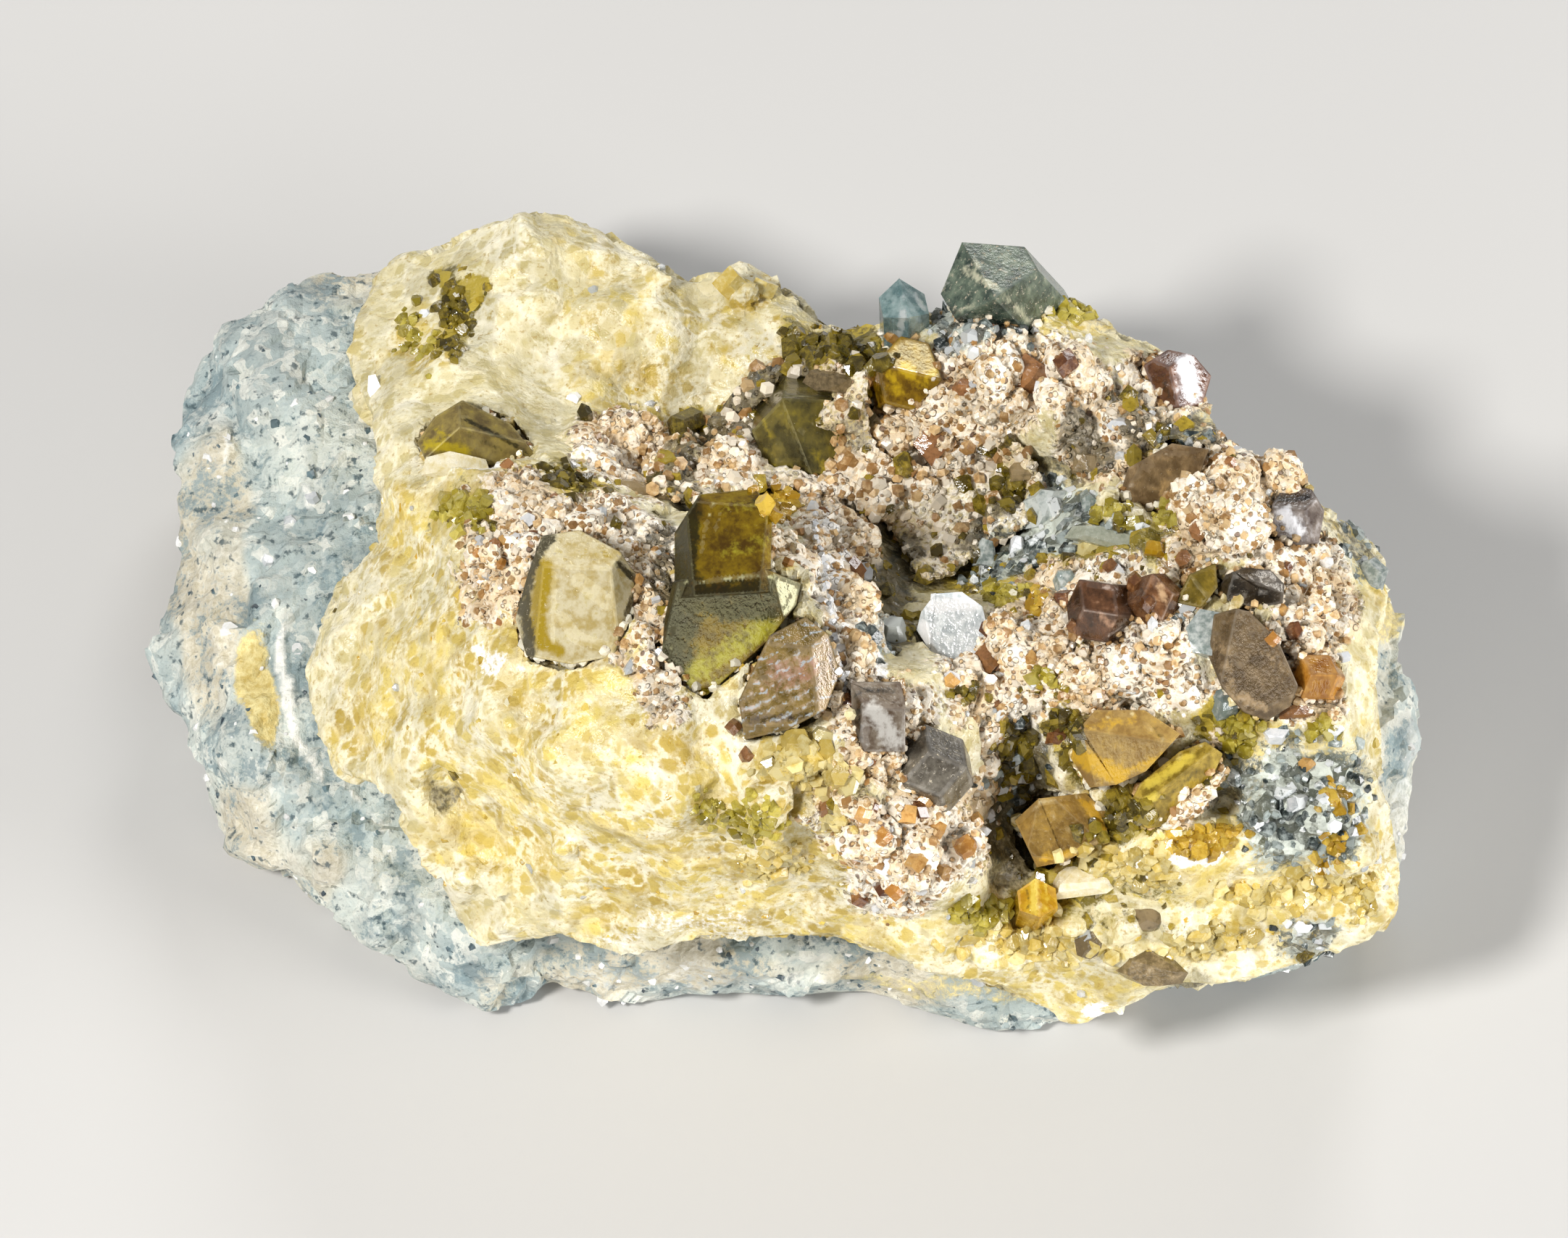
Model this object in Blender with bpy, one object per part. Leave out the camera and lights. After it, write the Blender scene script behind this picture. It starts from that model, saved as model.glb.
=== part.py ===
"""Epidote crystal cluster: massive yellow epidote grown on a broken piece of host rock,
with larger crystals of epidote, garnet and quartz standing in it.

The specimen is laid out on its display face, a plane that leans back from the front:
    across  runs along +X,
    up      runs up the display face, towards the back,
    out     stands out of the display face, towards the front and upwards.
Sizes are in millimetres until a mesh is written, and heights are measured from the flat base.
"""
import math
import random

import bmesh
import bpy
from mathutils import Euler, Vector, geometry, noise

# ---- driving dimensions, millimetres and degrees ----
LEAN = math.radians(58.0)        # how far the display face's "out" direction rises from the horizontal
BASE_SHIFT = Vector((0.0, 4.25, 0.0))   # brings the middle of the footprint to the origin
TALL_WALL = 6.0                  # a wall of this height has its full roughness
NEAR_EDGE = 3.0                  # width of the band along an edge that has the fine vertex spacing
ROCK_FACETS = ((1.5, 3.4, 3.0), (0.8, 1.7, 5.0))    # height, width and seed of the rock's broken facets
MASS_FACETS = ((0.85, 3.0, 1.0), (0.55, 1.6, 2.0))  # the same on the epidote
CRUST_FACETS = ((0.6, 1.7, 4.0),)                   # the same on the lining of the hollow
ROCK_WALL = ((0.35, 0.2), (0.7, 0.4), (1.0, 0.6))   # share of the way down its side, undercut there
MASS_WALL = ((0.3, 0.35), (0.7, 0.75))              # the same on the epidote's side
GAP = 0.3                        # clearance between neighbouring pieces
SOCKET_REACH = 12.0              # how far a socket stays open in front of its crystal
ROCK_SPACING = 1.55              # vertex spacing on the bare rock
CONTACT_SPACING = 2.3            # vertex spacing where the rock is covered
CONTACT_CLEARANCE = 0.55         # clearance there, which is curved
MASS_SPACING = 1.2               # vertex spacing on the epidote
CRUST_SPACING = 1.05             # vertex spacing on the lining of the hollow
EDGE_SPACING = 1.35              # vertex spacing along an outline
RIM_ROUNDING = 2.4               # width of the rounded shoulder along the rock's edge
MASS_ROUNDING = 1.1              # width of the rounded shoulder along the epidote's edge
EDGE_THICKNESS = 0.9             # least thickness of the epidote at its edge
CRUST_THICKNESS = 0.8            # thickness of the lining of the hollow
CRUST_ROOT = 1.2                 # how deep the lining reaches before its underside is cut
CRUST_CLEARANCE = 0.55           # clearance under that lining, which is curved
ROCK_SPREAD = 2.6                # how far one relief point of the rock reaches
MASS_SPREAD = 1.7                # how far one relief point of the epidote reaches
MM = 0.001

# ---- outline of the rock on the display face: (across, up, height of its edge) ----
ROCK_OUTLINE = (
    (-25.0, -1.1, 4.2), (-24.0, 2.2, 4.8), (-24.1, 5.2, 5.0), (-24.0, 7.6, 5.2), (-22.9, 10.2, 5.6),
    (-20.9, 12.4, 6.0), (-18.2, 13.5, 6.4), (-15.2, 13.8, 6.8), (-12.2, 14.7, 7.0), (-8.4, 15.2, 6.8),
    (-5.6, 13.7, 7.0), (-1.0, 12.6, 7.0), (2.6, 10.9, 7.0), (7.5, 12.0, 7.2), (12.0, 11.2, 7.4),
    (16.0, 8.7, 7.8), (17.0, 6.2, 8.2), (20.2, 4.4, 8.4), (22.8, 2.2, 8.6), (24.0, 0.4, 8.0),
    (24.3, -2.0, 7.0), (25.0, -4.6, 6.0), (24.4, -7.4, 4.8), (24.2, -10.2, 3.8), (22.4, -12.1, 3.2),
    (18.6, -13.4, 2.8), (14.6, -14.2, 2.2), (11.4, -15.5, 1.8), (8.6, -15.9, 1.5), (6.0, -15.3, 1.3),
    (3.4, -14.6, 1.4), (0.0, -14.7, 1.4), (-3.8, -14.6, 1.5), (-6.6, -14.9, 1.5), (-9.6, -13.6, 2.0),
    (-10.5, -14.8, 1.7), (-11.8, -15.0, 1.6), (-14.4, -13.6, 1.8), (-17.4, -11.9, 1.8),
    (-20.2, -9.5, 2.0), (-22.1, -8.5, 2.1), (-23.0, -6.0, 2.6), (-23.2, -4.1, 3.2), (-24.4, -2.5, 3.8),
)

# ---- relief of the rock: (across, up, height) ----
ROCK_RELIEF = (
    # the bare left side
    (-24.0, 0.5, 5.6), (-23.4, 6.0, 6.4), (-21.0, 11.0, 7.2), (-17.5, 13.0, 7.6), (-20.6, 2.5, 7.6),
    (-20.0, 7.2, 8.4), (-21.4, -3.6, 5.6), (-19.6, -1.2, 8.2), (-18.6, -5.4, 7.0), (-21.2, -7.6, 3.8),
    (-17.2, -9.8, 4.2), (-14.2, -12.4, 3.6), (-11.2, -13.8, 3.4), (-15.8, -7.8, 6.0),
    # under the epidote, left half
    (-15.5, 10.0, 8.2), (-15.0, 4.0, 9.0), (-14.0, -2.0, 8.4), (-12.0, -8.0, 6.2), (-11.5, -12.0, 4.8),
    (-8.0, -12.4, 4.6), (-8.0, -6.0, 7.0), (-8.0, 2.0, 8.4), (-8.0, 9.0, 8.0), (-9.0, 14.2, 7.4),
    # under the epidote, middle
    (-3.0, -12.9, 4.4), (-2.0, -6.0, 7.0), (-2.0, 3.0, 7.0), (-2.0, 11.8, 7.4), (4.0, -12.8, 4.2),
    (4.0, -5.0, 7.0), (5.0, 4.0, 7.2), (7.0, 11.6, 8.4), (8.0, -14.0, 3.4),
    # under the epidote and along the rim, right half
    (12.0, -14.4, 3.2), (12.0, -7.0, 7.0), (13.0, 2.0, 9.0), (15.0, 8.4, 9.0), (19.0, -12.8, 4.0),
    (19.0, -7.0, 7.4), (19.0, 2.0, 9.6), (23.6, -11.0, 5.4), (23.8, -6.0, 8.6), (23.8, -1.5, 10.0),
    (22.0, 2.6, 9.8),
)

# ---- outline of the epidote on the display face: (across, up) ----
MASS_OUTLINE = (
    (-15.4, 14.0), (-16.8, 12.2), (-17.1, 10.0), (-16.3, 8.0), (-15.8, 5.4), (-16.0, 2.9), (-17.3, 1.6),
    (-18.1, -0.2), (-18.7, -2.0), (-18.2, -4.5), (-17.1, -5.9), (-15.2, -7.0), (-14.1, -9.0),
    (-13.2, -10.4), (-11.9, -12.7), (-10.0, -12.4), (-8.2, -12.3), (-5.2, -13.1), (-3.6, -12.5),
    (-0.2, -12.4), (2.0, -12.4), (5.0, -13.3), (8.4, -14.5), (10.9, -15.6), (13.2, -15.1),
    (15.3, -14.4), (18.6, -14.0), (21.6, -12.9), (23.9, -11.4), (23.5, -8.4), (23.0, -5.0),
    (22.9, -1.8), (23.6, 0.8), (23.4, 2.2), (22.0, 3.7), (20.6, 4.7), (18.5, 5.5), (17.3, 7.0),
    (16.4, 8.9), (14.6, 10.6), (12.9, 11.2), (11.4, 12.5), (9.2, 13.0), (6.4, 12.0), (3.6, 11.4),
    (1.4, 11.9), (0.2, 12.8), (-1.6, 13.9), (-3.6, 13.2), (-5.9, 14.5), (-7.6, 15.4), (-9.7, 16.0),
    (-11.6, 15.6), (-13.4, 14.6),
)

# ---- relief of the epidote: (across, up, height) ----
MASS_RELIEF = (
    # the back bank and its knob
    (-15.2, 12.8, 10.2), (-12.0, 13.4, 12.2), (-9.8, 15.2, 12.6), (-9.6, 12.6, 12.6), (-6.0, 12.8, 12.6),
    (-2.2, 12.8, 12.4), (1.0, 11.2, 12.2), (-15.6, 10.0, 11.0), (-12.0, 10.4, 12.8), (-8.0, 10.2, 12.6),
    (-4.2, 10.4, 11.8), (-0.4, 9.8, 12.6), (-10.0, 8.2, 11.6), (-6.6, 7.9, 11.0),
    # the top right shoulder
    (3.6, 10.4, 14.6), (6.8, 11.0, 16.4), (9.4, 12.4, 15.6), (12.2, 11.0, 15.2), (14.6, 9.6, 14.8),
    (3.4, 7.6, 15.2), (6.6, 8.2, 16.4), (9.6, 8.8, 16.8), (12.6, 8.0, 15.6), (15.8, 7.2, 16.6),
    # the hollow
    (-3.9, 5.9, 8.0), (-1.0, 6.0, 10.0), (1.6, 5.4, 10.6), (4.4, 4.6, 11.0), (4.7, 1.3, 8.4),
    (6.6, 3.2, 9.4), (8.6, 4.8, 11.2), (8.2, 1.6, 14.2), (6.2, 5.6, 12.6),
    # the ridge
    (-15.0, 6.6, 13.6), (-12.6, 7.2, 16.2), (-12.6, 4.4, 18.0), (-9.6, 5.4, 18.8), (-8.0, 2.6, 20.6),
    (-5.2, 3.4, 20.0), (-5.0, 0.6, 21.8), (-2.2, 3.6, 20.4), (-2.0, 0.2, 22.2), (0.6, 3.0, 20.4),
    (1.2, -0.6, 22.0), (3.0, 1.0, 19.4), (2.6, -2.6, 21.6),
    # the front lobe
    (-15.2, 3.4, 12.6), (-16.8, -0.6, 10.2), (-17.2, -3.6, 9.4), (-14.6, -0.4, 15.2), (-11.6, 0.8, 18.6),
    (-14.4, -4.4, 13.2), (-11.4, -3.4, 17.4), (-8.0, -1.8, 20.6), (-12.4, -8.2, 10.8), (-11.2, -11.2, 7.0),
    (-8.0, -5.6, 18.2), (-4.4, -3.4, 20.6), (-8.0, -9.0, 13.4), (-8.0, -11.6, 8.0), (-4.0, -6.8, 18.0),
    (-0.8, -4.8, 20.0), (-4.0, -9.6, 13.6), (-4.0, -12.0, 8.0), (-0.2, -8.0, 16.8), (0.0, -11.2, 9.6),
    # the front of the right-hand cluster
    (4.4, -0.6, 18.6), (6.8, -0.8, 18.8), (4.0, -5.2, 19.8), (6.8, -3.2, 19.0), (7.2, -5.6, 18.2),
    (4.0, -8.6, 17.4), (6.6, -9.4, 15.6), (3.8, -11.8, 9.8), (7.6, -12.2, 9.6), (8.9, -4.6, 14.2),
    (8.9, -7.8, 11.4), (9.2, -10.2, 11.2), (10.8, -1.2, 18.6), (10.8, -3.6, 17.0),
    # the right-hand cluster
    (11.6, 3.2, 15.8), (12.4, 5.4, 14.6), (12.6, 0.2, 19.4), (15.4, 2.6, 18.6), (15.6, -1.2, 18.8),
    (17.2, 4.2, 20.0), (19.4, 3.2, 17.8), (18.6, 0.4, 18.8), (18.6, -3.0, 18.2), (21.4, 0.4, 17.2),
    (21.2, -2.4, 17.4), (22.6, 1.6, 13.6), (13.6, -5.0, 16.6), (12.2, -8.4, 14.8), (16.4, -3.8, 16.8),
    (16.6, -7.0, 13.4), (19.6, -6.4, 15.0), (22.2, -6.0, 13.8), (15.2, -9.2, 14.4), (19.4, -9.6, 13.2),
    (22.6, -9.6, 11.4),
    # the rim along the lower right
    (11.0, -12.0, 10.8), (14.6, -12.2, 10.4), (18.4, -11.9, 9.8), (22.0, -11.6, 9.0), (10.6, -14.6, 5.4),
    (14.6, -14.0, 6.4), (18.8, -13.4, 6.8),
)

# ---- named lumps on the epidote: (across, up, half width, half height, stands proud by) ----
LUMPS = (
    (-10.1, 15.0, 2.2, 1.3, 0.9), (-2.1, 13.1, 0.75, 0.7, 1.1), (-0.9, 12.8, 0.7, 0.65, 1.0),
    (-12.4, 6.1, 1.6, 0.9, 1.0), (-7.1, 7.0, 1.5, 1.4, 1.5),
    (2.8, 3.1, 1.1, 0.9, 1.2), (2.9, 0.6, 1.0, 1.0, 1.0), (2.8, -1.6, 0.7, 1.1, 0.9),
    (5.2, -8.9, 2.9, 2.4, 1.4), (17.2, 4.4, 2.2, 2.0, 1.3), (20.0, -0.6, 1.2, 1.5, 1.0),
    (9.3, -1.2, 1.3, 1.0, 1.0), (11.2, -2.4, 1.0, 0.8, 0.8), (8.6, 10.4, 2.6, 1.6, 1.0),
    (4.6, 6.6, 2.7, 1.6, 1.1), (19.5, 5.5, 1.0, 1.0, 1.4), (13.6, 9.2, 1.5, 1.3, 0.9),
    (21.2, 2.6, 1.0, 0.8, 0.8), (-13.6, -3.0, 3.4, 3.0, 0.8), (-7.0, -6.5, 3.8, 3.2, 0.8),
    (-2.0, -9.0, 3.0, 2.6, 0.7), (-9.5, -10.2, 2.4, 1.6, 0.8), (13.0, -13.2, 3.0, 1.4, 0.9),
    (19.8, -11.8, 2.8, 1.3, 0.8), (9.0, 1.4, 1.0, 0.8, 0.9), (11.0, 1.9, 1.1, 0.8, 0.9),
    (12.9, 2.4, 1.3, 0.6, 0.7),
    (15.6, 2.8, 0.9, 0.8, 0.8), (10.6, 0.2, 0.7, 0.9, 0.7), (14.0, -1.4, 1.3, 0.8, 0.9),
    (15.6, -3.1, 0.9, 0.8, 0.8),
    (21.6, -4.6, 1.2, 0.9, 0.8), (19.4, -6.4, 1.3, 1.1, 0.8), (21.4, -7.8, 1.1, 1.3, 0.8),
    (17.6, -8.9, 1.8, 0.9, 0.8),
    (3.4, -7.0, 1.1, 0.9, 0.7), (1.6, -5.4, 1.3, 0.9, 0.8), (-0.8, -6.6, 1.2, 1.0, 0.7),
    (7.6, 8.0, 1.4, 1.0, 0.9),
    (10.4, 7.4, 1.3, 1.1, 0.9), (12.0, 9.8, 1.0, 0.9, 0.8), (14.8, 7.6, 1.2, 0.9, 0.8),
    (6.4, -3.9, 1.0, 0.8, 0.8), (-12.6, 11.2, 2.6, 1.8, 0.7), (-6.4, 11.4, 2.4, 1.8, 0.7),
)

# ---- pits in the epidote: (across, up, half width, half height, depth) ----
PITS = (
    (-13.3, -6.4, 0.9, 0.8, 1.4), (9.0, -6.0, 0.9, 2.6, 1.2), (16.9, -7.2, 1.0, 0.7, 1.2),
    (13.4, 9.0, 0.6, 1.0, 1.2), (8.3, 6.0, 0.9, 1.2, 0.9), (-4.6, 1.0, 0.5, 2.6, 0.9),
)

# ---- outline of the druse that lines the hollow: (across, up) ----
HOLLOW_OUTLINE = (
    (-5.2, 5.0), (-4.6, 7.4), (-2.4, 8.0), (-1.2, 9.7), (2.9, 10.2), (3.4, 6.8), (5.6, 5.9), (7.4, 7.0),
    (9.6, 6.6), (9.8, 4.0), (7.4, 2.6), (6.5, 1.7), (5.4, 1.6), (4.8, 2.8), (3.0, 4.7), (-1.0, 5.2),
    (-3.4, 4.6),
)


# ---- the display face ----

def place(across, up, out):
    """World position, in millimetres, of a point on the display face."""
    y = up * math.sin(LEAN) - out * math.cos(LEAN)
    z = up * math.cos(LEAN) + out * math.sin(LEAN)
    return Vector((across, y, z)) + BASE_SHIFT


def out_at(up, height):
    """How far out of the display face a point of that height lies."""
    return (height - up * math.cos(LEAN)) / math.sin(LEAN)


def closed_curve(points, spacing):
    """Smooth closed curve through the points, as points about one spacing apart."""
    count = len(points)
    curve = []
    for i in range(count):
        p0, p1, p2, p3 = (Vector(points[(i + k) % count]) for k in (-1, 0, 1, 2))
        steps = max(1, round((p2 - p1).length / spacing))
        for step in range(steps):
            t = step / steps
            curve.append(0.5 * (2 * p1 + (p2 - p0) * t + (2 * p0 - 5 * p1 + 4 * p2 - p3) * t ** 2
                                + (3 * p1 - p0 - 3 * p2 + p3) * t ** 3))
    return curve


def inside(across, up, outline):
    """Whether a point lies within a closed outline."""
    found = False
    for i, a in enumerate(outline):
        b = outline[i - 1]
        if (a[1] > up) != (b[1] > up):
            if across < (b[0] - a[0]) * (up - a[1]) / (b[1] - a[1]) + a[0]:
                found = not found
    return found


def nearest(across, up, outline):
    """Distance to the outline, and the outline's point that is nearest."""
    best = min(outline, key=lambda p: (p[0] - across) ** 2 + (p[1] - up) ** 2)
    return math.hypot(best[0] - across, best[1] - up), best


def fade(value, start, end):
    """0 at start, 1 at end, smooth between."""
    t = max(0.0, min(1.0, (value - start) / (end - start)))
    return t * t * (3.0 - 2.0 * t)


def by_edge(across, up, outlines):
    """Whether a point lies near the edge of the rock or of the epidote."""
    return min(nearest(across, up, outlines[name])[0] for name in ("rock", "mass")) < NEAR_EDGE


# ---- relief ----

def relief(across, up, points, spread):
    """Height between the relief points that lie round about."""
    total = weight = 1e-12
    for a, u, height in points:
        w = math.exp(-((a - across) ** 2 + (u - up) ** 2) / (2.0 * spread ** 2)) + 1e-9
        total += w * height
        weight += w
    return total / weight


def facet(across, up, size, seed):
    """Flat tilted facets, like broken grains: between -1 and 1."""
    i, j = math.floor(across / size), math.floor(up / size)
    best, value = 1e9, 0.0
    for ci in (i - 1, i, i + 1):
        for cj in (j - 1, j, j + 1):
            r = noise.cell_vector(Vector((ci + 0.5, cj + 0.5, seed)))
            ca, cu = (ci + r.x) * size, (cj + r.y) * size
            d = (ca - across) ** 2 + (cu - up) ** 2
            if d < best:
                t = noise.cell_vector(Vector((ci + 0.5, cj + 0.5, seed + 9.5)))
                best = d
                value = ((t.x - 0.5) * (across - ca) + (t.y - 0.5) * (up - cu)) / size + (t.z - 0.5)
    return value


def facets(across, up, kinds):
    """Sum of several sizes of facet."""
    return sum(height * facet(across, up, size, seed) for height, size, seed in kinds)


def rock_out(across, up, outlines, rough=True):
    """How far out the rock's surface lies. It is smooth where the epidote covers it."""
    height = relief(across, up, ROCK_RELIEF, ROCK_SPREAD)
    distance, edge = nearest(across, up, outlines["rock"])
    shoulder = max(0.0, 1.0 - distance / RIM_ROUNDING) ** 2
    height += (edge[2] - height) * shoulder
    if rough and not inside(across, up, outlines["mass"]):
        bare = fade(nearest(across, up, outlines["mass"])[0], 0.9, 2.6)
        height += bare * facets(across, up, ROCK_FACETS)
    return out_at(up, height)


def lumps(across, up, domes):
    """How far the domes stand proud at a point."""
    out = 0.0
    for a, u, half_across, half_up, proud in domes:
        q = ((across - a) / half_across) ** 2 + ((up - u) / half_up) ** 2
        if q < 1.0:
            out += proud * math.sqrt(1.0 - q)
    return out


def mass_out(across, up, outlines, rough=True):
    """How far out the epidote's surface lies. It has no facets where the hollow is lined."""
    out = out_at(up, relief(across, up, MASS_RELIEF, MASS_SPREAD)) + lumps(across, up, LUMPS)
    for a, u, half_across, half_up, depth in PITS:
        q = ((across - a) / half_across) ** 2 + ((up - u) / half_up) ** 2
        if q < 1.0:
            out -= depth * (1.0 - q)
    distance = nearest(across, up, outlines["mass"])[0]
    if rough and not inside(across, up, outlines["hollow"]):
        unlined = fade(nearest(across, up, outlines["hollow"])[0], 1.3, 2.4)
        out += unlined * fade(distance, 0.0, 0.8) * facets(across, up, MASS_FACETS)
    out -= EDGE_THICKNESS * max(0.0, 1.0 - distance / MASS_ROUNDING) ** 2
    return max(out, rock_out(across, up, outlines, False) + EDGE_THICKNESS)


# ---- meshes ----

def grid_points(outline, spacing, keep):
    """Points of a jittered triangular grid within the outline."""
    lows = [min(p[k] for p in outline) for k in (0, 1)]
    highs = [max(p[k] for p in outline) for k in (0, 1)]
    rise = spacing * math.sqrt(3.0) / 2.0
    points = []
    for row in range(int((highs[1] - lows[1]) / rise) + 2):
        for column in range(int((highs[0] - lows[0]) / spacing) + 2):
            a = lows[0] + (column + 0.5 * (row % 2)) * spacing
            u = lows[1] + row * rise
            shift = noise.cell_vector(Vector((column + 0.5, row + 0.5, spacing * 7.3)))
            a += (shift.x - 0.5) * 0.4 * spacing
            u += (shift.y - 0.5) * 0.4 * spacing
            if inside(a, u, outline) and nearest(a, u, outline)[0] > 0.6 * spacing and keep(a, u):
                points.append((a, u))
    return points


def triangles(outline, inner):
    """Triangles over an outline and the points within it. The outline's points come first."""
    points = [Vector((p[0], p[1])) for p in outline] + [Vector(p) for p in inner]
    ring = list(range(len(outline)))
    found = geometry.delaunay_2d_cdt(points, [], [ring], 1, 1e-5)
    return found[0], found[2]


def sheet_solid(name, outline, tops, bottoms, top_out, bottom_out, wall):
    """Closed solid between two surfaces that share one outline on the display face.
    wall lists the rings between them: (share of the way down, step inwards)."""
    bm = bmesh.new()
    centre = sum((Vector((p[0], p[1])) for p in outline), Vector((0.0, 0.0))) / len(outline)

    def surface(inner, out, flip):
        points, faces = triangles(outline, inner)
        verts = [bm.verts.new(place(p.x, p.y, out(p.x, p.y))) for p in points]
        for face in faces:
            order = [verts[i] for i in face]
            bm.faces.new(order[::-1] if flip else order)
        return verts[:len(outline)]

    rings = [surface(tops, top_out, False)]
    for share, step in wall:
        ring = []
        for p in outline:
            inward = (centre - Vector((p[0], p[1]))).normalized()
            high, low = top_out(p[0], p[1]), bottom_out(p[0], p[1])
            push = step * min(1.0, (high - low) / TALL_WALL)
            push *= 1.0 + noise.cell(Vector((p[0] * 0.5, p[1] * 0.5, share * 7.0)))
            a, u = p[0] + inward.x * push, p[1] + inward.y * push
            out = high * (1.0 - share) + low * share
            ring.append(bm.verts.new(place(a, u, out)))
        rings.append(ring)
    rings.append(surface(bottoms, bottom_out, True))
    count = len(outline)
    for upper, lower in zip(rings, rings[1:]):
        for i in range(count):
            j = (i + 1) % count
            bm.faces.new((upper[i], lower[i], lower[j], upper[j]))
    return finish(name, bm)


def finish(name, bm, own_centre=False):
    """Writes the mesh in metres, its faces pointing out, as an object that stands at the part's origin
    or at its own centre."""
    bmesh.ops.scale(bm, vec=(MM, MM, MM), verts=bm.verts)
    centre = Vector()
    if own_centre:
        centre = sum((vert.co for vert in bm.verts), Vector()) / len(bm.verts)
        bmesh.ops.translate(bm, vec=-centre, verts=bm.verts)
    bmesh.ops.triangulate(bm, faces=[f for f in bm.faces if len(f.verts) > 4])
    bmesh.ops.recalc_face_normals(bm, faces=bm.faces)
    mesh = bpy.data.meshes.new(name)
    bm.to_mesh(mesh)
    bm.free()
    obj = bpy.data.objects.new(name, mesh)
    obj.location = centre
    bpy.context.scene.collection.objects.link(obj)
    return obj


def paint(obj, colour, roughness, transmission=0.0):
    """Gives the object its own Principled material."""
    material = bpy.data.materials.new(obj.name)
    material.use_nodes = True
    shader = material.node_tree.nodes["Principled BSDF"]
    shader.inputs["Base Color"].default_value = (*colour, 1.0)
    shader.inputs["Roughness"].default_value = roughness
    shader.inputs["Transmission Weight"].default_value = transmission
    obj.data.materials.append(material)


# ---- crystals: convex solids bounded by flat faces ----

def crystal_mesh(planes, grow=0.0):
    """Solid within a set of planes, each (point, outward normal) on the display face."""
    bm = bmesh.new()
    bmesh.ops.create_cube(bm, size=80.0)
    for point, normal in planes:
        normal = normal.normalized()
        cut = bmesh.ops.bisect_plane(bm, geom=bm.verts[:] + bm.edges[:] + bm.faces[:], dist=1e-4,
                                     plane_co=point + normal * grow, plane_no=normal, clear_outer=True)
        edges = [g for g in cut["geom_cut"] if isinstance(g, bmesh.types.BMEdge)]
        if edges:
            bmesh.ops.holes_fill(bm, edges=edges, sides=0)
    bmesh.ops.remove_doubles(bm, verts=bm.verts, dist=0.002)
    bmesh.ops.dissolve_degenerate(bm, edges=bm.edges, dist=0.002)
    for vert in bm.verts:
        vert.co = place(*vert.co)
    return bm


def outline_planes(outline, root, faces):
    """A crystal whose outline is given on the display face, with leaning end faces.
    Each face is (across, up, out, slope across, slope up)."""
    centre = sum((Vector(p) for p in outline), Vector((0.0, 0.0))) / len(outline)
    planes = [(Vector((centre.x, centre.y, root)), Vector((0.0, 0.0, -1.0)))]
    for i, (a, u) in enumerate(outline):
        before = outline[i - 1]
        normal = Vector((u - before[1], before[0] - a, 0.0))
        if normal.dot(Vector((a - centre.x, u - centre.y, 0.0))) < 0.0:
            normal.negate()
        planes.append((Vector((a, u, 0.0)), normal))
    sides = list(planes)
    for a, u, out, slope_across, slope_up in faces:
        planes.append((Vector((a, u, out)), Vector((-slope_across, -slope_up, 1.0))))
    return planes, sides


def prism_planes(centre, turn, half_width, half_breadth, length, tip):
    """A six-sided prism with a roof-like end. Its axis is the turned Z axis; centre is on its ridge."""
    rotation = Euler([math.radians(angle) for angle in turn]).to_matrix()
    centre = Vector(centre)
    planes = []
    for angle, reach in ((0.0, half_width), (180.0, half_width), (62.0, half_breadth),
                         (118.0, half_breadth), (242.0, half_breadth), (298.0, half_breadth)):
        normal = Vector((math.cos(math.radians(angle)), math.sin(math.radians(angle)), 0.0))
        planes.append((centre + rotation @ (normal * reach), rotation @ normal))
    planes.append((centre - rotation @ Vector((0.0, 0.0, length)), rotation @ Vector((0.0, 0.0, -1.0))))
    for lean in (tip, -0.6 * tip):
        normal = Vector((math.sin(math.radians(lean)), 0.12, math.cos(math.radians(lean))))
        planes.append((centre, rotation @ normal))
    return planes


def garnet_planes(centre, turn, radius):
    """A garnet: a rhombic dodecahedron."""
    rotation = Euler([math.radians(angle) for angle in turn]).to_matrix()
    planes = []
    for first, second in ((0, 1), (1, 2), (0, 2)):
        for sign_a in (1.0, -1.0):
            for sign_b in (1.0, -1.0):
                normal = Vector((0.0, 0.0, 0.0))
                normal[first], normal[second] = sign_a, sign_b
                normal = rotation @ normal.normalized()
                planes.append((Vector(centre) + normal * radius, normal))
    return planes


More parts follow.
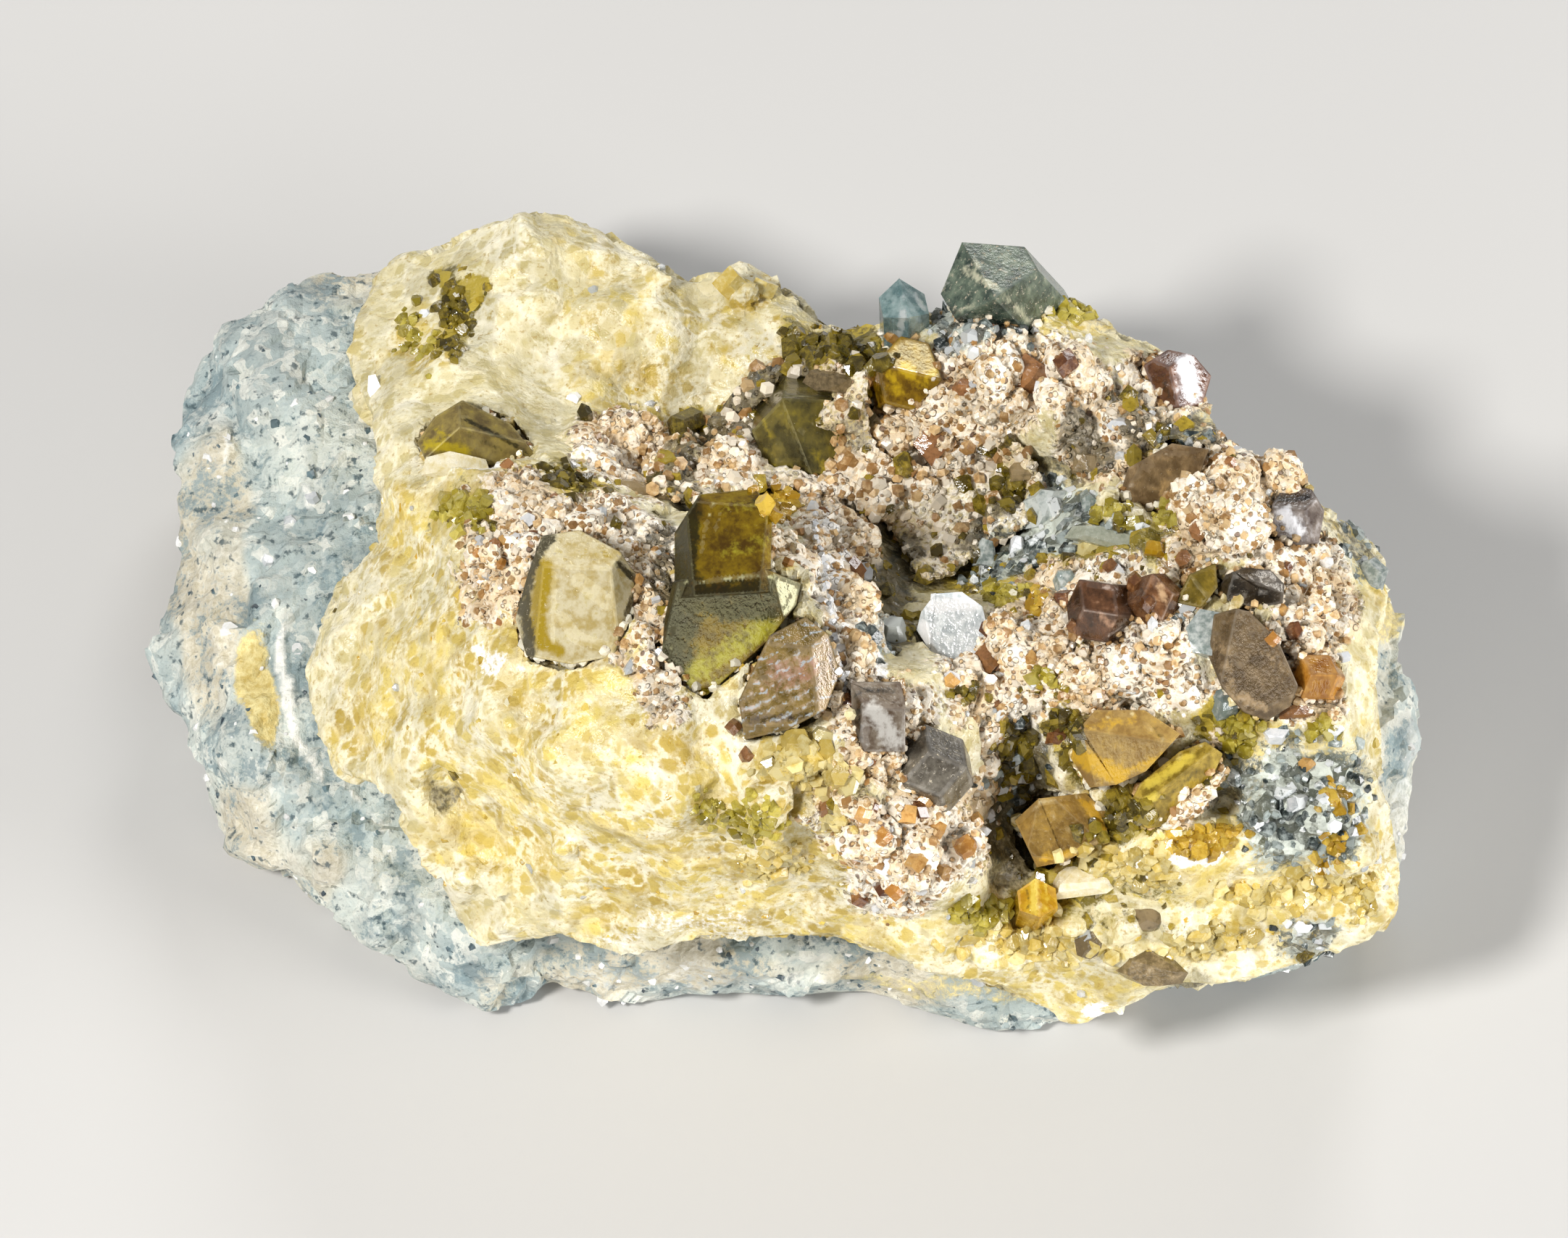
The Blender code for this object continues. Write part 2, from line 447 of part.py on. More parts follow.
# ---- the large crystals that are given by their outline on the display face ----
# name: (outline, stands proud by, root depth, end faces (across, up, drop, slope across, slope up))
OUTLINE_CRYSTALS = {
    "striated_crystal": (((-0.45, -0.75), (0.8, -0.1), (1.6, -0.7), (2.0, -2.1), (1.5, -3.4),
                          (0.1, -4.15), (-1.4, -4.5), (-1.6, -3.2)), 1.5, 4.0,
                         ((0.2, -2.2, 0.0, 0.10, 0.22), (1.4, -1.5, 0.1, -0.9, 0.1),
                          (-0.4, -3.8, 0.2, 0.1, 1.0), (0.6, -0.6, 0.1, 0.0, -0.8))),
    "hexagonal_crystal": (((-9.3, 3.1), (-8.0, 3.3), (-6.5, 2.5), (-5.8, 1.5), (-6.15, 0.2),
                           (-6.7, -1.3), (-8.3, -1.6), (-9.9, -1.3), (-10.3, 0.0), (-9.8, 1.8)), 1.3, 4.0,
                          ((-8.0, 0.6, 0.0, 0.04, 0.12), (-9.4, 0.6, 0.0, 1.3, 0.0),
                           (-8.0, 2.3, 0.1, 0.0, -0.8), (-6.6, 0.8, 0.0, -1.1, 0.0))),
    "ridge_end_crystal": (((-14.2, 6.9), (-13.6, 7.8), (-12.6, 8.4), (-10.8, 7.5), (-10.0, 6.5),
                           (-11.4, 6.2), (-13.9, 6.3)), 1.7, 3.6,
                          ((-12.7, 7.2, 0.0, -0.35, 0.5), (-12.7, 7.6, 0.0, 0.9, -0.9),
                           (-12.4, 7.4, 0.0, -0.7, -1.0))),
    "slab_crystal": (((13.2, 4.6), (13.6, 5.8), (15.2, 6.7), (16.4, 6.5), (16.0, 5.4), (14.8, 4.5)),
                     1.2, 3.2, ((14.8, 5.6, 0.0, 0.2, 0.5), (13.9, 5.2, 0.1, 1.0, 0.0))),
    "corner_garnet": (((14.3, 9.9), (15.1, 10.4), (16.0, 10.2), (16.6, 9.5), (16.3, 8.5), (14.8, 8.4)),
                      1.3, 2.6, ((15.1, 9.4, 0.0, 0.5, 0.15), (15.3, 9.4, 0.0, -0.7, -0.1),
                                 (15.3, 10.0, 0.1, 0.0, -1.0))),
    "rim_garnet": (((19.2, 3.6), (19.2, 4.4), (19.6, 5.0), (20.5, 4.95), (20.95, 4.2), (20.75, 3.1),
                    (19.6, 3.0)), 1.4, 2.6,
                   ((20.0, 3.9, 0.0, 0.1, 0.35), (20.2, 4.4, 0.1, 0.0, -1.2), (20.5, 3.8, 0.1, -1.1, 0.0))),
    "dark_tablet": (((17.0, 0.95), (17.35, 1.6), (18.0, 1.85), (18.9, 1.75), (19.35, 1.3), (19.3, 0.75),
                     (18.4, 0.6)), 1.2, 3.0, ((18.2, 1.2, 0.0, 0.15, 0.2), (18.6, 1.5, 0.1, -0.3, -0.9),
                                              (17.5, 1.2, 0.05, 0.9, 0.0))),
    "smoky_tablet": (((16.9, 0.05), (17.6, 0.25), (18.7, 0.0), (19.1, -0.9), (19.8, -1.6), (19.9, -2.5),
                      (19.6, -3.3), (18.8, -3.8), (18.0, -3.5), (17.2, -2.6), (16.7, -1.4)), 1.1, 3.6,
                     ((18.4, -1.6, 0.0, 0.10, 0.25), (17.3, -1.2, 0.05, 0.8, 0.1),
                      (19.0, -3.2, 0.3, -0.2, 0.9))),
    "silver_plate": (((5.5, 0.2), (6.0, 0.85), (6.9, 0.9), (7.6, 0.4), (7.8, -0.4), (7.4, -1.3),
                      (6.6, -1.7), (5.8, -1.1), (5.35, -0.4)), 1.0, 1.6,
                     ((6.6, -0.4, 0.0, 0.12, -0.10), (6.6, 0.6, 0.0, 0.0, -0.7),
                      (5.8, -0.4, 0.0, 0.8, 0.0))),
    "grey_garnet": (((2.75, -2.6), (4.4, -2.6), (4.55, -3.3), (4.55, -5.0), (3.2, -5.0), (2.8, -4.0)),
                    1.5, 2.8, ((3.7, -4.2, 0.0, 0.05, 0.15), (3.6, -3.3, 0.0, 0.0, -0.7),
                               (3.1, -3.6, 0.0, 1.3, 0.0))),
    "leaf_crystal": (((15.5, 0.75), (15.9, 1.6), (16.7, 1.95), (16.75, 1.3), (16.2, 0.6)), 1.1, 2.2,
                     ((16.1, 1.2, 0.0, 0.3, 0.2), (16.1, 1.4, 0.0, -0.6, -0.5))),
    "amber_tablet": (((11.35, -5.4), (11.5, -4.5), (12.2, -3.7), (14.0, -3.7), (15.2, -4.5),
                      (14.0, -5.8), (12.9, -6.3), (12.0, -6.4)), 1.6, 3.8,
                     ((13.0, -4.9, 0.0, 0.02, 0.30), (13.4, -4.2, 0.1, -0.1, -0.5),
                      (12.0, -5.4, 0.1, 0.8, 0.5))),
    "olive_blade": (((13.5, -7.5), (14.0, -6.5), (15.5, -5.3), (16.4, -4.95), (16.9, -5.3),
                     (16.3, -6.7), (15.0, -7.9), (14.2, -8.0)), 2.2, 4.6,
                    ((15.0, -6.4, 0.0, 0.42, -0.55), (15.0, -6.4, 0.0, -0.75, 0.95),
                     (14.0, -7.2, 0.2, 1.0, 0.6))),
    "brown_tablet": (((9.2, -7.9), (10.0, -7.15), (11.7, -6.95), (12.5, -7.7), (12.4, -8.5),
                      (10.9, -9.3), (9.95, -9.5)), 1.7, 4.2,
                     ((10.8, -8.1, 0.0, 0.06, 0.20), (11.6, -7.6, 0.1, -0.5, -0.4),
                      (9.7, -8.3, 0.1, 0.9, 0.0), (10.8, -9.2, 0.1, 0.2, 1.2))),
}

# the big prism of the ridge is stepped: two such outlines grown as one, both level with one seat
RIDGE_PRISM_SEAT = (-2.2, 1.2)
RIDGE_PRISM_LOWER = (((-4.2, 1.3), (-0.65, 1.75), (0.5, 1.3), (0.2, 0.1), (-0.75, -0.75), (-1.9, -2.2),
                      (-2.6, -3.0), (-3.5, -2.6), (-4.6, -1.4), (-4.5, -0.1)), 2.3, 5.5,
                     ((-2.0, 1.4, 0.0, 0.05, 0.30), (-4.0, 0.0, 0.0, 1.5, 0.0),
                      (-0.3, 0.5, 0.1, -0.8, 0.1), (-2.6, -2.3, 0.9, 0.0, 1.3)))
RIDGE_PRISM_UPPER = (((-4.1, 1.0), (-0.7, 1.2), (-0.6, 4.2), (-1.2, 4.9), (-3.2, 4.7), (-4.1, 3.3)),
                     2.6, 5.5,
                     ((-2.2, 1.7, 0.0, 0.08, -0.32), (-3.3, 2.5, 0.0, 1.4, -0.2),
                      (-2.2, 4.4, 0.9, 0.0, -1.5), (-0.9, 2.6, 0.1, -1.2, -0.2)))

# ---- free-standing prisms: across, up, proud, turn, half width, half breadth, length, tip angle ----
PRISM_CRYSTALS = {
    "back_prism": (0.6, 7.0, 2.9, (14.0, -8.0, 20.0), 1.5, 1.45, 5.2, 24.0),
    "amber_crystal": (4.9, 9.7, 1.5, (8.0, 10.0, 75.0), 1.25, 1.0, 3.4, 30.0),
    "clear_tip": (4.7, 12.5, 2.2, (-28.0, 4.0, 10.0), 0.75, 0.7, 3.2, 42.0),
    "green_peak": (7.7, 13.6, 2.4, (-34.0, -6.0, 35.0), 1.7, 1.35, 5.2, 38.0),
    "golden_prism": (9.9, -10.9, 1.7, (-12.0, 4.0, 5.0), 0.6, 0.55, 3.2, 30.0),
}

# ---- free-standing garnets: across, up, proud, turn, radius ----
GARNET_CRYSTALS = {
    "hex_garnet": (5.9, -5.85, 0.4, (10.0, 40.0, 20.0), 1.15),
    "red_garnet": (12.35, 0.3, 0.5, (20.0, 15.0, 40.0), 0.98),
    "brown_garnet": (14.4, 0.75, 0.45, (40.0, 10.0, 10.0), 0.78),
    "orange_garnet": (20.85, -2.3, 0.35, (25.0, 30.0, 50.0), 0.7),
}

LOOKS = {      # colour, roughness, transmission
    "host_rock": ((0.52, 0.56, 0.56), 0.85, 0.0), "epidote_mass": ((0.66, 0.55, 0.22), 0.55, 0.0),
    "hollow_crust": ((0.42, 0.30, 0.17), 0.6, 0.0), "ridge_prism": ((0.16, 0.14, 0.02), 0.12, 0.3),
    "striated_crystal": ((0.18, 0.13, 0.04), 0.15, 0.3), "hexagonal_crystal": ((0.42, 0.36, 0.12), 0.2, 0.2),
    "ridge_end_crystal": ((0.25, 0.19, 0.05), 0.2, 0.2), "back_prism": ((0.14, 0.12, 0.03), 0.2, 0.2),
    "amber_crystal": ((0.38, 0.24, 0.02), 0.15, 0.4), "clear_tip": ((0.45, 0.55, 0.55), 0.1, 0.7),
    "green_peak": ((0.10, 0.14, 0.10), 0.25, 0.1), "corner_garnet": ((0.20, 0.06, 0.04), 0.15, 0.0),
    "slab_crystal": ((0.20, 0.15, 0.10), 0.3, 0.1), "rim_garnet": ((0.16, 0.09, 0.08), 0.15, 0.0),
    "dark_tablet": ((0.06, 0.04, 0.03), 0.15, 0.2), "smoky_tablet": ((0.14, 0.09, 0.05), 0.15, 0.4),
    "silver_plate": ((0.80, 0.83, 0.86), 0.1, 0.0), "grey_garnet": ((0.13, 0.10, 0.09), 0.2, 0.0),
    "hex_garnet": ((0.09, 0.06, 0.05), 0.2, 0.0), "red_garnet": ((0.14, 0.03, 0.01), 0.15, 0.2),
    "brown_garnet": ((0.16, 0.07, 0.03), 0.15, 0.2), "orange_garnet": ((0.45, 0.19, 0.03), 0.15, 0.3),
    "leaf_crystal": ((0.16, 0.13, 0.02), 0.15, 0.3), "amber_tablet": ((0.36, 0.21, 0.03), 0.15, 0.4),
    "olive_blade": ((0.22, 0.18, 0.03), 0.15, 0.3), "brown_tablet": ((0.20, 0.12, 0.03), 0.15, 0.4),
    "golden_prism": ((0.60, 0.38, 0.04), 0.15, 0.4),
}

# ---- small crystals fused to the epidote ----
# (across, up, half width, half height, how many, radius, share that are garnets)
CLUSTERS = (
    (5.2, -8.9, 2.4, 2.0, 9, 0.75, 0.8), (17.2, 4.4, 1.8, 1.6, 7, 0.65, 0.8),
    (20.6, -0.3, 1.0, 1.6, 4, 0.6, 1.0),
    (8.8, 9.4, 2.6, 2.2, 7, 0.75, 0.6), (10.6, -1.6, 2.2, 1.8, 6, 0.7, 0.4),
    (1.2, -7.2, 2.4, 2.2, 7, 0.75, 0.1),
    (20.6, -7.4, 2.2, 2.6, 8, 0.75, 0.2), (-11.4, 3.2, 1.6, 1.4, 4, 0.7, 0.0),
    (13.2, -11.6, 3.2, 1.4, 5, 0.7, 0.0),
    (-11.0, -8.6, 2.6, 2.0, 3, 0.6, 0.0), (13.2, 3.0, 2.2, 0.9, 4, 0.6, 0.0),
    (-2.4, 13.0, 3.2, 0.6, 3, 0.6, 0.0),
    (14.6, 8.6, 1.6, 1.6, 3, 0.7, 0.4), (1.8, 3.8, 1.4, 1.0, 3, 0.6, 0.4),
)
# ---- the druse in the hollow: its boulders, its small crystals, and the area whose bed is cut ----
HOLLOW_LUMPS = (
    (-1.9, 6.6, 1.3, 1.2, 1.5), (6.6, 4.2, 1.4, 1.1, 1.2), (8.4, 5.2, 1.1, 1.2, 1.0),
    (5.7, 2.4, 1.0, 1.0, 0.9),
)
HOLLOW_CLUSTERS = (
    (-3.4, 6.4, 1.8, 1.4, 14, 0.62, 0.1), (6.6, 4.2, 3.2, 2.8, 30, 0.75, 0.1),
    (2.4, 7.6, 1.4, 2.6, 12, 0.6, 0.0),
)
HOLLOW_BOX = (-7.6, -1.6, 11.6, 10.8)   # least across, least up, most across, most up


def far_from(across, up, radius, areas):
    """Whether a small crystal stays clear of the large ones."""
    for a, u, reach in areas:
        if math.hypot(across - a, up - u) < radius + reach:
            return False
    return True


def small_crystals(name, clusters, seed, surface, keep):
    """The small crystals of some clusters, as one hidden object that is fused to its base."""
    draw = random.Random(seed)
    whole = bmesh.new()
    taken = []
    for across, up, half_across, half_up, count, radius, garnets in clusters:
        for _ in range(count):
            angle, reach = draw.uniform(0.0, 2.0 * math.pi), math.sqrt(draw.random())
            a = across + half_across * reach * math.cos(angle)
            u = up + half_up * reach * math.sin(angle)
            size = radius * draw.uniform(0.75, 1.25)
            turn = [draw.uniform(-35.0, 35.0), draw.uniform(-35.0, 35.0), draw.uniform(0.0, 180.0)]
            is_garnet = draw.random() < garnets
            if not keep(a, u, size) or not far_from(a, u, 0.75 * size, taken):
                continue
            taken.append((a, u, 0.75 * size))
            seat = sum(surface(a + x, u + y) for x, y in ((size, 0), (-size, 0), (0, size), (0, -size))) / 4.0
            if is_garnet:
                centre = Vector((a, u, seat + 0.3 * size))
                planes = [p for p in garnet_planes(centre, turn, size) if p[1].z > -0.3]
                planes.append((centre - Vector((0.0, 0.0, 0.8 * size)), Vector((0.0, 0.0, -1.0))))
            else:
                centre = (a, u, seat + 1.1 * size)
                planes = prism_planes(centre, turn, size, 0.8 * size, 3.0 * size, 32.0)
            add_mesh(whole, crystal_mesh(planes))
    obj = finish(name, whole)
    hide(obj)
    return obj


def add_mesh(whole, part):
    """Adds one bmesh to another, and frees it."""
    mesh = bpy.data.meshes.new("part")
    part.to_mesh(mesh)
    part.free()
    whole.from_mesh(mesh)
    bpy.data.meshes.remove(mesh)


def hide(obj):
    """Marks a shape that only cuts or joins."""
    obj.hide_render = True
    obj.display_type = "WIRE"


def combine(obj, other, operation):
    """Joins or cuts one object with another."""
    modifier = obj.modifiers.new(other.name, "BOOLEAN")
    modifier.operation = operation
    modifier.solver = "EXACT"
    modifier.use_self = True
    modifier.object = other


def outline_crystal(spec, surface):
    """Planes of a crystal given by outline, and those of its socket."""
    outline, proud, root_depth, faces = spec
    centre = sum((Vector(p) for p in outline), Vector((0.0, 0.0))) / len(outline)
    top = surface(centre.x, centre.y) + proud
    ends = [(a, u, top - drop, slope_a, slope_u) for a, u, drop, slope_a, slope_u in faces]
    planes, sides = outline_planes(outline, top - root_depth, ends)
    ahead = [(Vector((centre.x, centre.y, top + SOCKET_REACH)), Vector((0.0, 0.0, 1.0)))]
    return planes, sides + ahead


def build():
    outlines = {
        "rock": [tuple(p) for p in closed_curve(ROCK_OUTLINE, EDGE_SPACING)],
        "mass": [tuple(p) for p in closed_curve(MASS_OUTLINE, EDGE_SPACING)],
        "hollow": [tuple(p) for p in closed_curve(HOLLOW_OUTLINE, EDGE_SPACING)],
    }

    def rock(a, u):
        return rock_out(a, u, outlines)

    def mass(a, u):
        return mass_out(a, u, outlines)

    def plain_mass(a, u):
        return mass_out(a, u, outlines, False)

    rock_piece = build_rock(outlines, rock)
    epidote = build_mass(outlines, mass)
    crust = build_crust(outlines["hollow"], plain_mass)

    crystals = {}
    sockets = bmesh.new()
    areas = []
    for name, spec in OUTLINE_CRYSTALS.items():
        planes, socket = outline_crystal(spec, plain_mass)
        crystals[name] = crystal_mesh(planes)
        add_mesh(sockets, crystal_mesh(socket, GAP))
        areas.append(round_area(spec[0]))
    steps = []
    for spec in (RIDGE_PRISM_LOWER, RIDGE_PRISM_UPPER):
        planes, socket = outline_crystal(spec, lambda a, u: plain_mass(*RIDGE_PRISM_SEAT))
        steps.append(crystal_mesh(planes))
        add_mesh(sockets, crystal_mesh(socket, GAP))
        areas.append(round_area(spec[0]))
    for name, (a, u, proud, turn, half_w, half_b, length, tip) in PRISM_CRYSTALS.items():
        planes = prism_planes((a, u, plain_mass(a, u) + proud), turn, half_w, half_b, length, tip)
        crystals[name] = crystal_mesh(planes)
        add_mesh(sockets, crystal_mesh(planes, GAP))
        areas.append((a, u, half_w))
    for name, (a, u, proud, turn, radius) in GARNET_CRYSTALS.items():
        planes = garnet_planes((a, u, plain_mass(a, u) + proud), turn, radius)
        crystals[name] = crystal_mesh(planes)
        add_mesh(sockets, crystal_mesh(planes, GAP))
        areas.append((a, u, radius))
    cutter = finish("sockets", sockets)
    hide(cutter)

    for name, mesh in crystals.items():
        finish(name, mesh, True).parent = rock_piece
    prism = finish("ridge_prism", steps[0], True)
    step = finish("ridge_prism_step", steps[1], True)
    hide(step)
    combine(prism, step, "UNION")
    for piece in (epidote, crust, prism, step):
        piece.parent = rock_piece

    def clear_of_crystals(a, u, size):
        lined = inside(a, u, outlines["hollow"]) or nearest(a, u, outlines["hollow"])[0] < 1.8 * size
        return far_from(a, u, size, areas) and not lined

    def in_hollow(a, u, size):
        lined = inside(a, u, outlines["hollow"]) and nearest(a, u, outlines["hollow"])[0] > 0.8 * size
        return lined and far_from(a, u, size, areas)

    fused = small_crystals("small_crystals", CLUSTERS, 11, mass, clear_of_crystals)
    druse = small_crystals("hollow_crystals", HOLLOW_CLUSTERS, 5,
                           lambda a, u: plain_mass(a, u) + CRUST_CLEARANCE + CRUST_THICKNESS, in_hollow)
    combine(epidote, fused, "UNION")
    combine(epidote, cutter, "DIFFERENCE")
    combine(crust, druse, "UNION")
    combine(crust, cutter, "DIFFERENCE")
    combine(crust, build_bed(plain_mass), "DIFFERENCE")

    for name, (colour, roughness, transmission) in LOOKS.items():
        paint(bpy.data.objects[name], colour, roughness, transmission)


def round_area(outline):
    """Centre and reach of an outline."""
    a = sum(p[0] for p in outline) / len(outline)
    u = sum(p[1] for p in outline) / len(outline)
    reach = sum(math.hypot(p[0] - a, p[1] - u) for p in outline) / len(outline)
    return a, u, reach


def build_mass(outlines, surface):
    """The epidote, lying on the rock with a small clearance."""
    outline = outlines["mass"]
    tops = grid_points(outline, MASS_SPACING, lambda a, u: True)
    bottoms = grid_points(outline, CONTACT_SPACING, lambda a, u: not by_edge(a, u, outlines))
    bottoms += grid_points(outline, ROCK_SPACING, lambda a, u: by_edge(a, u, outlines))

    def under(a, u):
        return rock_out(a, u, outlines, False) + CONTACT_CLEARANCE

    return sheet_solid("epidote_mass", outline, tops, bottoms, surface, under, MASS_WALL)


def build_crust(outline, plain):
    """The druse that lines the hollow, before its underside is cut to the epidote."""

    def top(a, u):
        edge = fade(nearest(a, u, outline)[0], 0.0, 1.0)
        lift = CRUST_CLEARANCE + CRUST_THICKNESS * (0.8 + 0.2 * edge)
        return plain(a, u) + lift + edge * facets(a, u, CRUST_FACETS) + lumps(a, u, HOLLOW_LUMPS)

    def bottom(a, u):
        return plain(a, u) - CRUST_ROOT

    points = grid_points(outline, CRUST_SPACING, lambda a, u: True)
    return sheet_solid("hollow_crust", outline, points, [], top, bottom, ())


def build_bed(plain):
    """The epidote's surface round the hollow, raised by the clearance. It cuts the druse's underside."""
    left, front, right, back = HOLLOW_BOX
    corners = [(left, front), (right, front), (right, back), (left, back)]
    outline = []
    for i, a in enumerate(corners):
        b = corners[(i + 1) % 4]
        steps = round(math.hypot(b[0] - a[0], b[1] - a[1]) / CRUST_SPACING)
        for step in range(steps):
            t = step / steps
            outline.append((a[0] + (b[0] - a[0]) * t, a[1] + (b[1] - a[1]) * t))
    points = grid_points(outline, CRUST_SPACING, lambda a, u: True)

    def top(a, u):
        return plain(a, u) + CRUST_CLEARANCE

    def bottom(a, u):
        return plain(a, u) - 3.0 * CRUST_ROOT

    bed = sheet_solid("hollow_bed", outline, points, points, top, bottom, ())
    hide(bed)
    return bed


def build_rock(outlines, surface):
    """The rock: its bare surface, the bed under the epidote, its broken sides and its flat base."""
    outline = outlines["rock"]

    def covered(a, u):
        return inside(a, u, outlines["mass"]) and not by_edge(a, u, outlines)

    def open_rock(a, u):
        return not covered(a, u) and nearest(a, u, outlines["mass"])[0] > 0.6 * EDGE_SPACING

    bare = grid_points(outline, ROCK_SPACING, open_rock)
    for p in outlines["mass"]:
        if inside(p[0], p[1], outline) and nearest(p[0], p[1], outline)[0] > 0.6 * EDGE_SPACING:
            bare.append((p[0], p[1]))
    bed = grid_points(outline, CONTACT_SPACING, covered)
    points, faces = triangles(outline, bare + bed)
    bm = bmesh.new()
    top = [bm.verts.new(place(p.x, p.y, surface(p.x, p.y))) for p in points]
    for face in faces:
        bm.faces.new([top[i] for i in face])
    count = len(outline)
    rim = top[:count]
    centre = sum((v.co for v in rim), Vector()) / count
    rings = [rim]
    for share, undercut in ROCK_WALL:
        ring = []
        for vert in rim:
            inward = Vector((centre.x - vert.co.x, centre.y - vert.co.y, 0.0)).normalized()
            wave = vert.co * 0.45 + Vector((0.0, 0.0, 9.0 * share))
            bump = 0.0 if share == 1.0 else 0.1 * vert.co.z * (noise.cell(wave) + 0.6)
            co = vert.co + inward * (undercut * share * vert.co.z + bump)
            co.z = vert.co.z * (1.0 - share)
            ring.append(bm.verts.new(co))
        rings.append(ring)
    for upper, lower in zip(rings, rings[1:]):
        for i in range(count):
            j = (i + 1) % count
            bm.faces.new((upper[i], lower[i], lower[j], upper[j]))
    bm.faces.new(rings[-1][::-1])
    return finish("host_rock", bm)


for old in list(bpy.data.objects):
    bpy.data.objects.remove(old)
build()
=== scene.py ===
"""Looks of the epidote crystal cluster: dense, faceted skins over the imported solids, thousands of
small fused crystals, and materials for rock, epidote, garnet and quartz.

Places on the specimen are given on its display face, in millimetres: across, up and out.
The camera looks straight at that face. Colours are screen colours, 0 to 255.
"""

import math
from itertools import product

import bmesh
import bpy
import numpy as np
from mathutils import Euler, Matrix, Vector
from mathutils.bvhtree import BVHTree


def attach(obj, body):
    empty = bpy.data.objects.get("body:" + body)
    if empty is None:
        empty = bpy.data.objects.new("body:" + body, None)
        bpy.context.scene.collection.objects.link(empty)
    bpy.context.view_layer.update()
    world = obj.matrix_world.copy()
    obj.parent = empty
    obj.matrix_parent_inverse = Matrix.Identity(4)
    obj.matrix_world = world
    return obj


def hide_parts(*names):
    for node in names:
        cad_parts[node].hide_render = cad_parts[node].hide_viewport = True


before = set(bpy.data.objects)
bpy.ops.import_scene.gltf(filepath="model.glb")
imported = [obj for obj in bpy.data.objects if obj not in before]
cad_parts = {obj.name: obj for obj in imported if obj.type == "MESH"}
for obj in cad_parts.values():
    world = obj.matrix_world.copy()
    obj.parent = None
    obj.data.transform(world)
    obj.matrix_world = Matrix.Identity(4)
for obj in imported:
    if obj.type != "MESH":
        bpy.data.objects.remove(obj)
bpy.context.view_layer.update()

MM = 0.001
LEAN = math.radians(58.0)     # how far the display face's "out" direction rises from the horizontal
BASE_SHIFT = 4.25             # the display face's middle lies this far behind the origin
SIN, COS = math.sin(LEAN), math.cos(LEAN)
TOWARD = np.array((0.0, -COS, SIN))     # out from the display face, in the world
ABOVE = 60.0                  # rays start this far out, past every piece

FRAME_WIDTH = 61.4            # across the picture, at the crystals
FOCUS_OUT = 16.0              # the crystals lie about this far out
CAMERA_DISTANCE = 1500.0

EPIDOTE_VOXEL, ROCK_VOXEL, DRUSE_VOXEL = 0.206, 0.3, 0.14     # how dense the three skins are
FACES_KEPT = 0.55             # share of the epidote's faces left once its hidden side is thinned out
GROWTH, BEVEL = 0.16, 0.04    # how far the large crystals grow over their solids, and their worn edges
FINEST = 0.3                  # longest edge in a large crystal's skin
FINE_CRYSTALS, FINER = ("ridge_prism", "hexagonal_crystal"), 0.22
# painted shade: places deeper than their neighbourhood are darkened
SHADED_DEPTHS = (0.8, 2.8)       # places this far below their neighbourhood turn dark
SOFT_EDGE = 0.35              # how gradually a zone ends, as a share of its size


# ---- the display face ----

def place(across, up, out):
    """World point, in metres, of a point on the display face."""
    return Vector((across, up * SIN - out * COS + BASE_SHIFT, up * COS + out * SIN)) * MM


def direction(across, up, out):
    return (place(across, up, out) - place(0.0, 0.0, 0.0)).normalized()


def on_face(points):
    """Across, up and out of world points in millimetres."""
    x, y, z = points.T
    y = y - BASE_SHIFT
    return np.stack((x, y * SIN + z * COS, z * SIN - y * COS), axis=1)


def rows(text):
    """The rows of a table: commas part the rows, spaces the numbers."""
    return [tuple(map(float, row.split())) for row in text.split(",") if row.strip()]


# ---- noise, the same on every run; points and sizes are in millimetres ----

def random3(cells, seed):
    """Three numbers from 0 to 1 for each whole-numbered cell."""
    c = cells.astype(np.int64).astype(np.uint64)
    h = c[:, 0] * np.uint64(73856093) ^ c[:, 1] * np.uint64(19349663) ^ c[:, 2] * np.uint64(83492791)
    h ^= np.uint64(seed * 2654435761 + 97)
    out = np.empty((len(c), 3))
    for k in range(3):
        h = (h ^ (h >> np.uint64(33))) * np.uint64(0xff51afd7ed558ccd)
        h = (h ^ (h >> np.uint64(33))) * np.uint64(0xc4ceb9fe1a85ec53)
        h ^= h >> np.uint64(33)
        out[:, k] = (h & np.uint64(0xffffff)) / float(0xffffff)
    return out


def smooth_noise(points, size, seed):
    """Soft noise between -1 and 1."""
    g = points / size
    base = np.floor(g)
    t = fade(g - base, 0.0, 1.0)
    total = np.zeros(len(points))
    for corner in product((0, 1), repeat=3):
        weight = np.ones(len(points))
        for k in range(3):
            weight *= t[:, k] if corner[k] else 1.0 - t[:, k]
        total += weight * random3(base + corner, seed)[:, 0]
    return 2.0 * total - 1.0


def noise3(points, size, seed):
    return np.stack([smooth_noise(points, size, seed + k) for k in range(3)], axis=1)


def grains(points, size, seed):
    """The grain each point lies in: its random numbers, the offset from its centre in grain sizes,
    and how far the next grain is."""
    g = points / size
    base = np.floor(g)
    nearest = np.full(len(points), 1e9)
    second = nearest.copy()
    offset, owner = np.zeros((2, len(points), 3))
    for step in product((-1, 0, 1), repeat=3):
        cell = base + step
        d = g - cell - random3(cell, seed)
        far = (d * d).sum(axis=1)
        closer = far < nearest
        second = np.where(closer, nearest, np.minimum(second, far))
        nearest = np.where(closer, far, nearest)
        offset[closer] = d[closer]
        owner[closer] = cell[closer]
    return random3(owner, seed + 41), offset, np.sqrt(second) - np.sqrt(nearest)


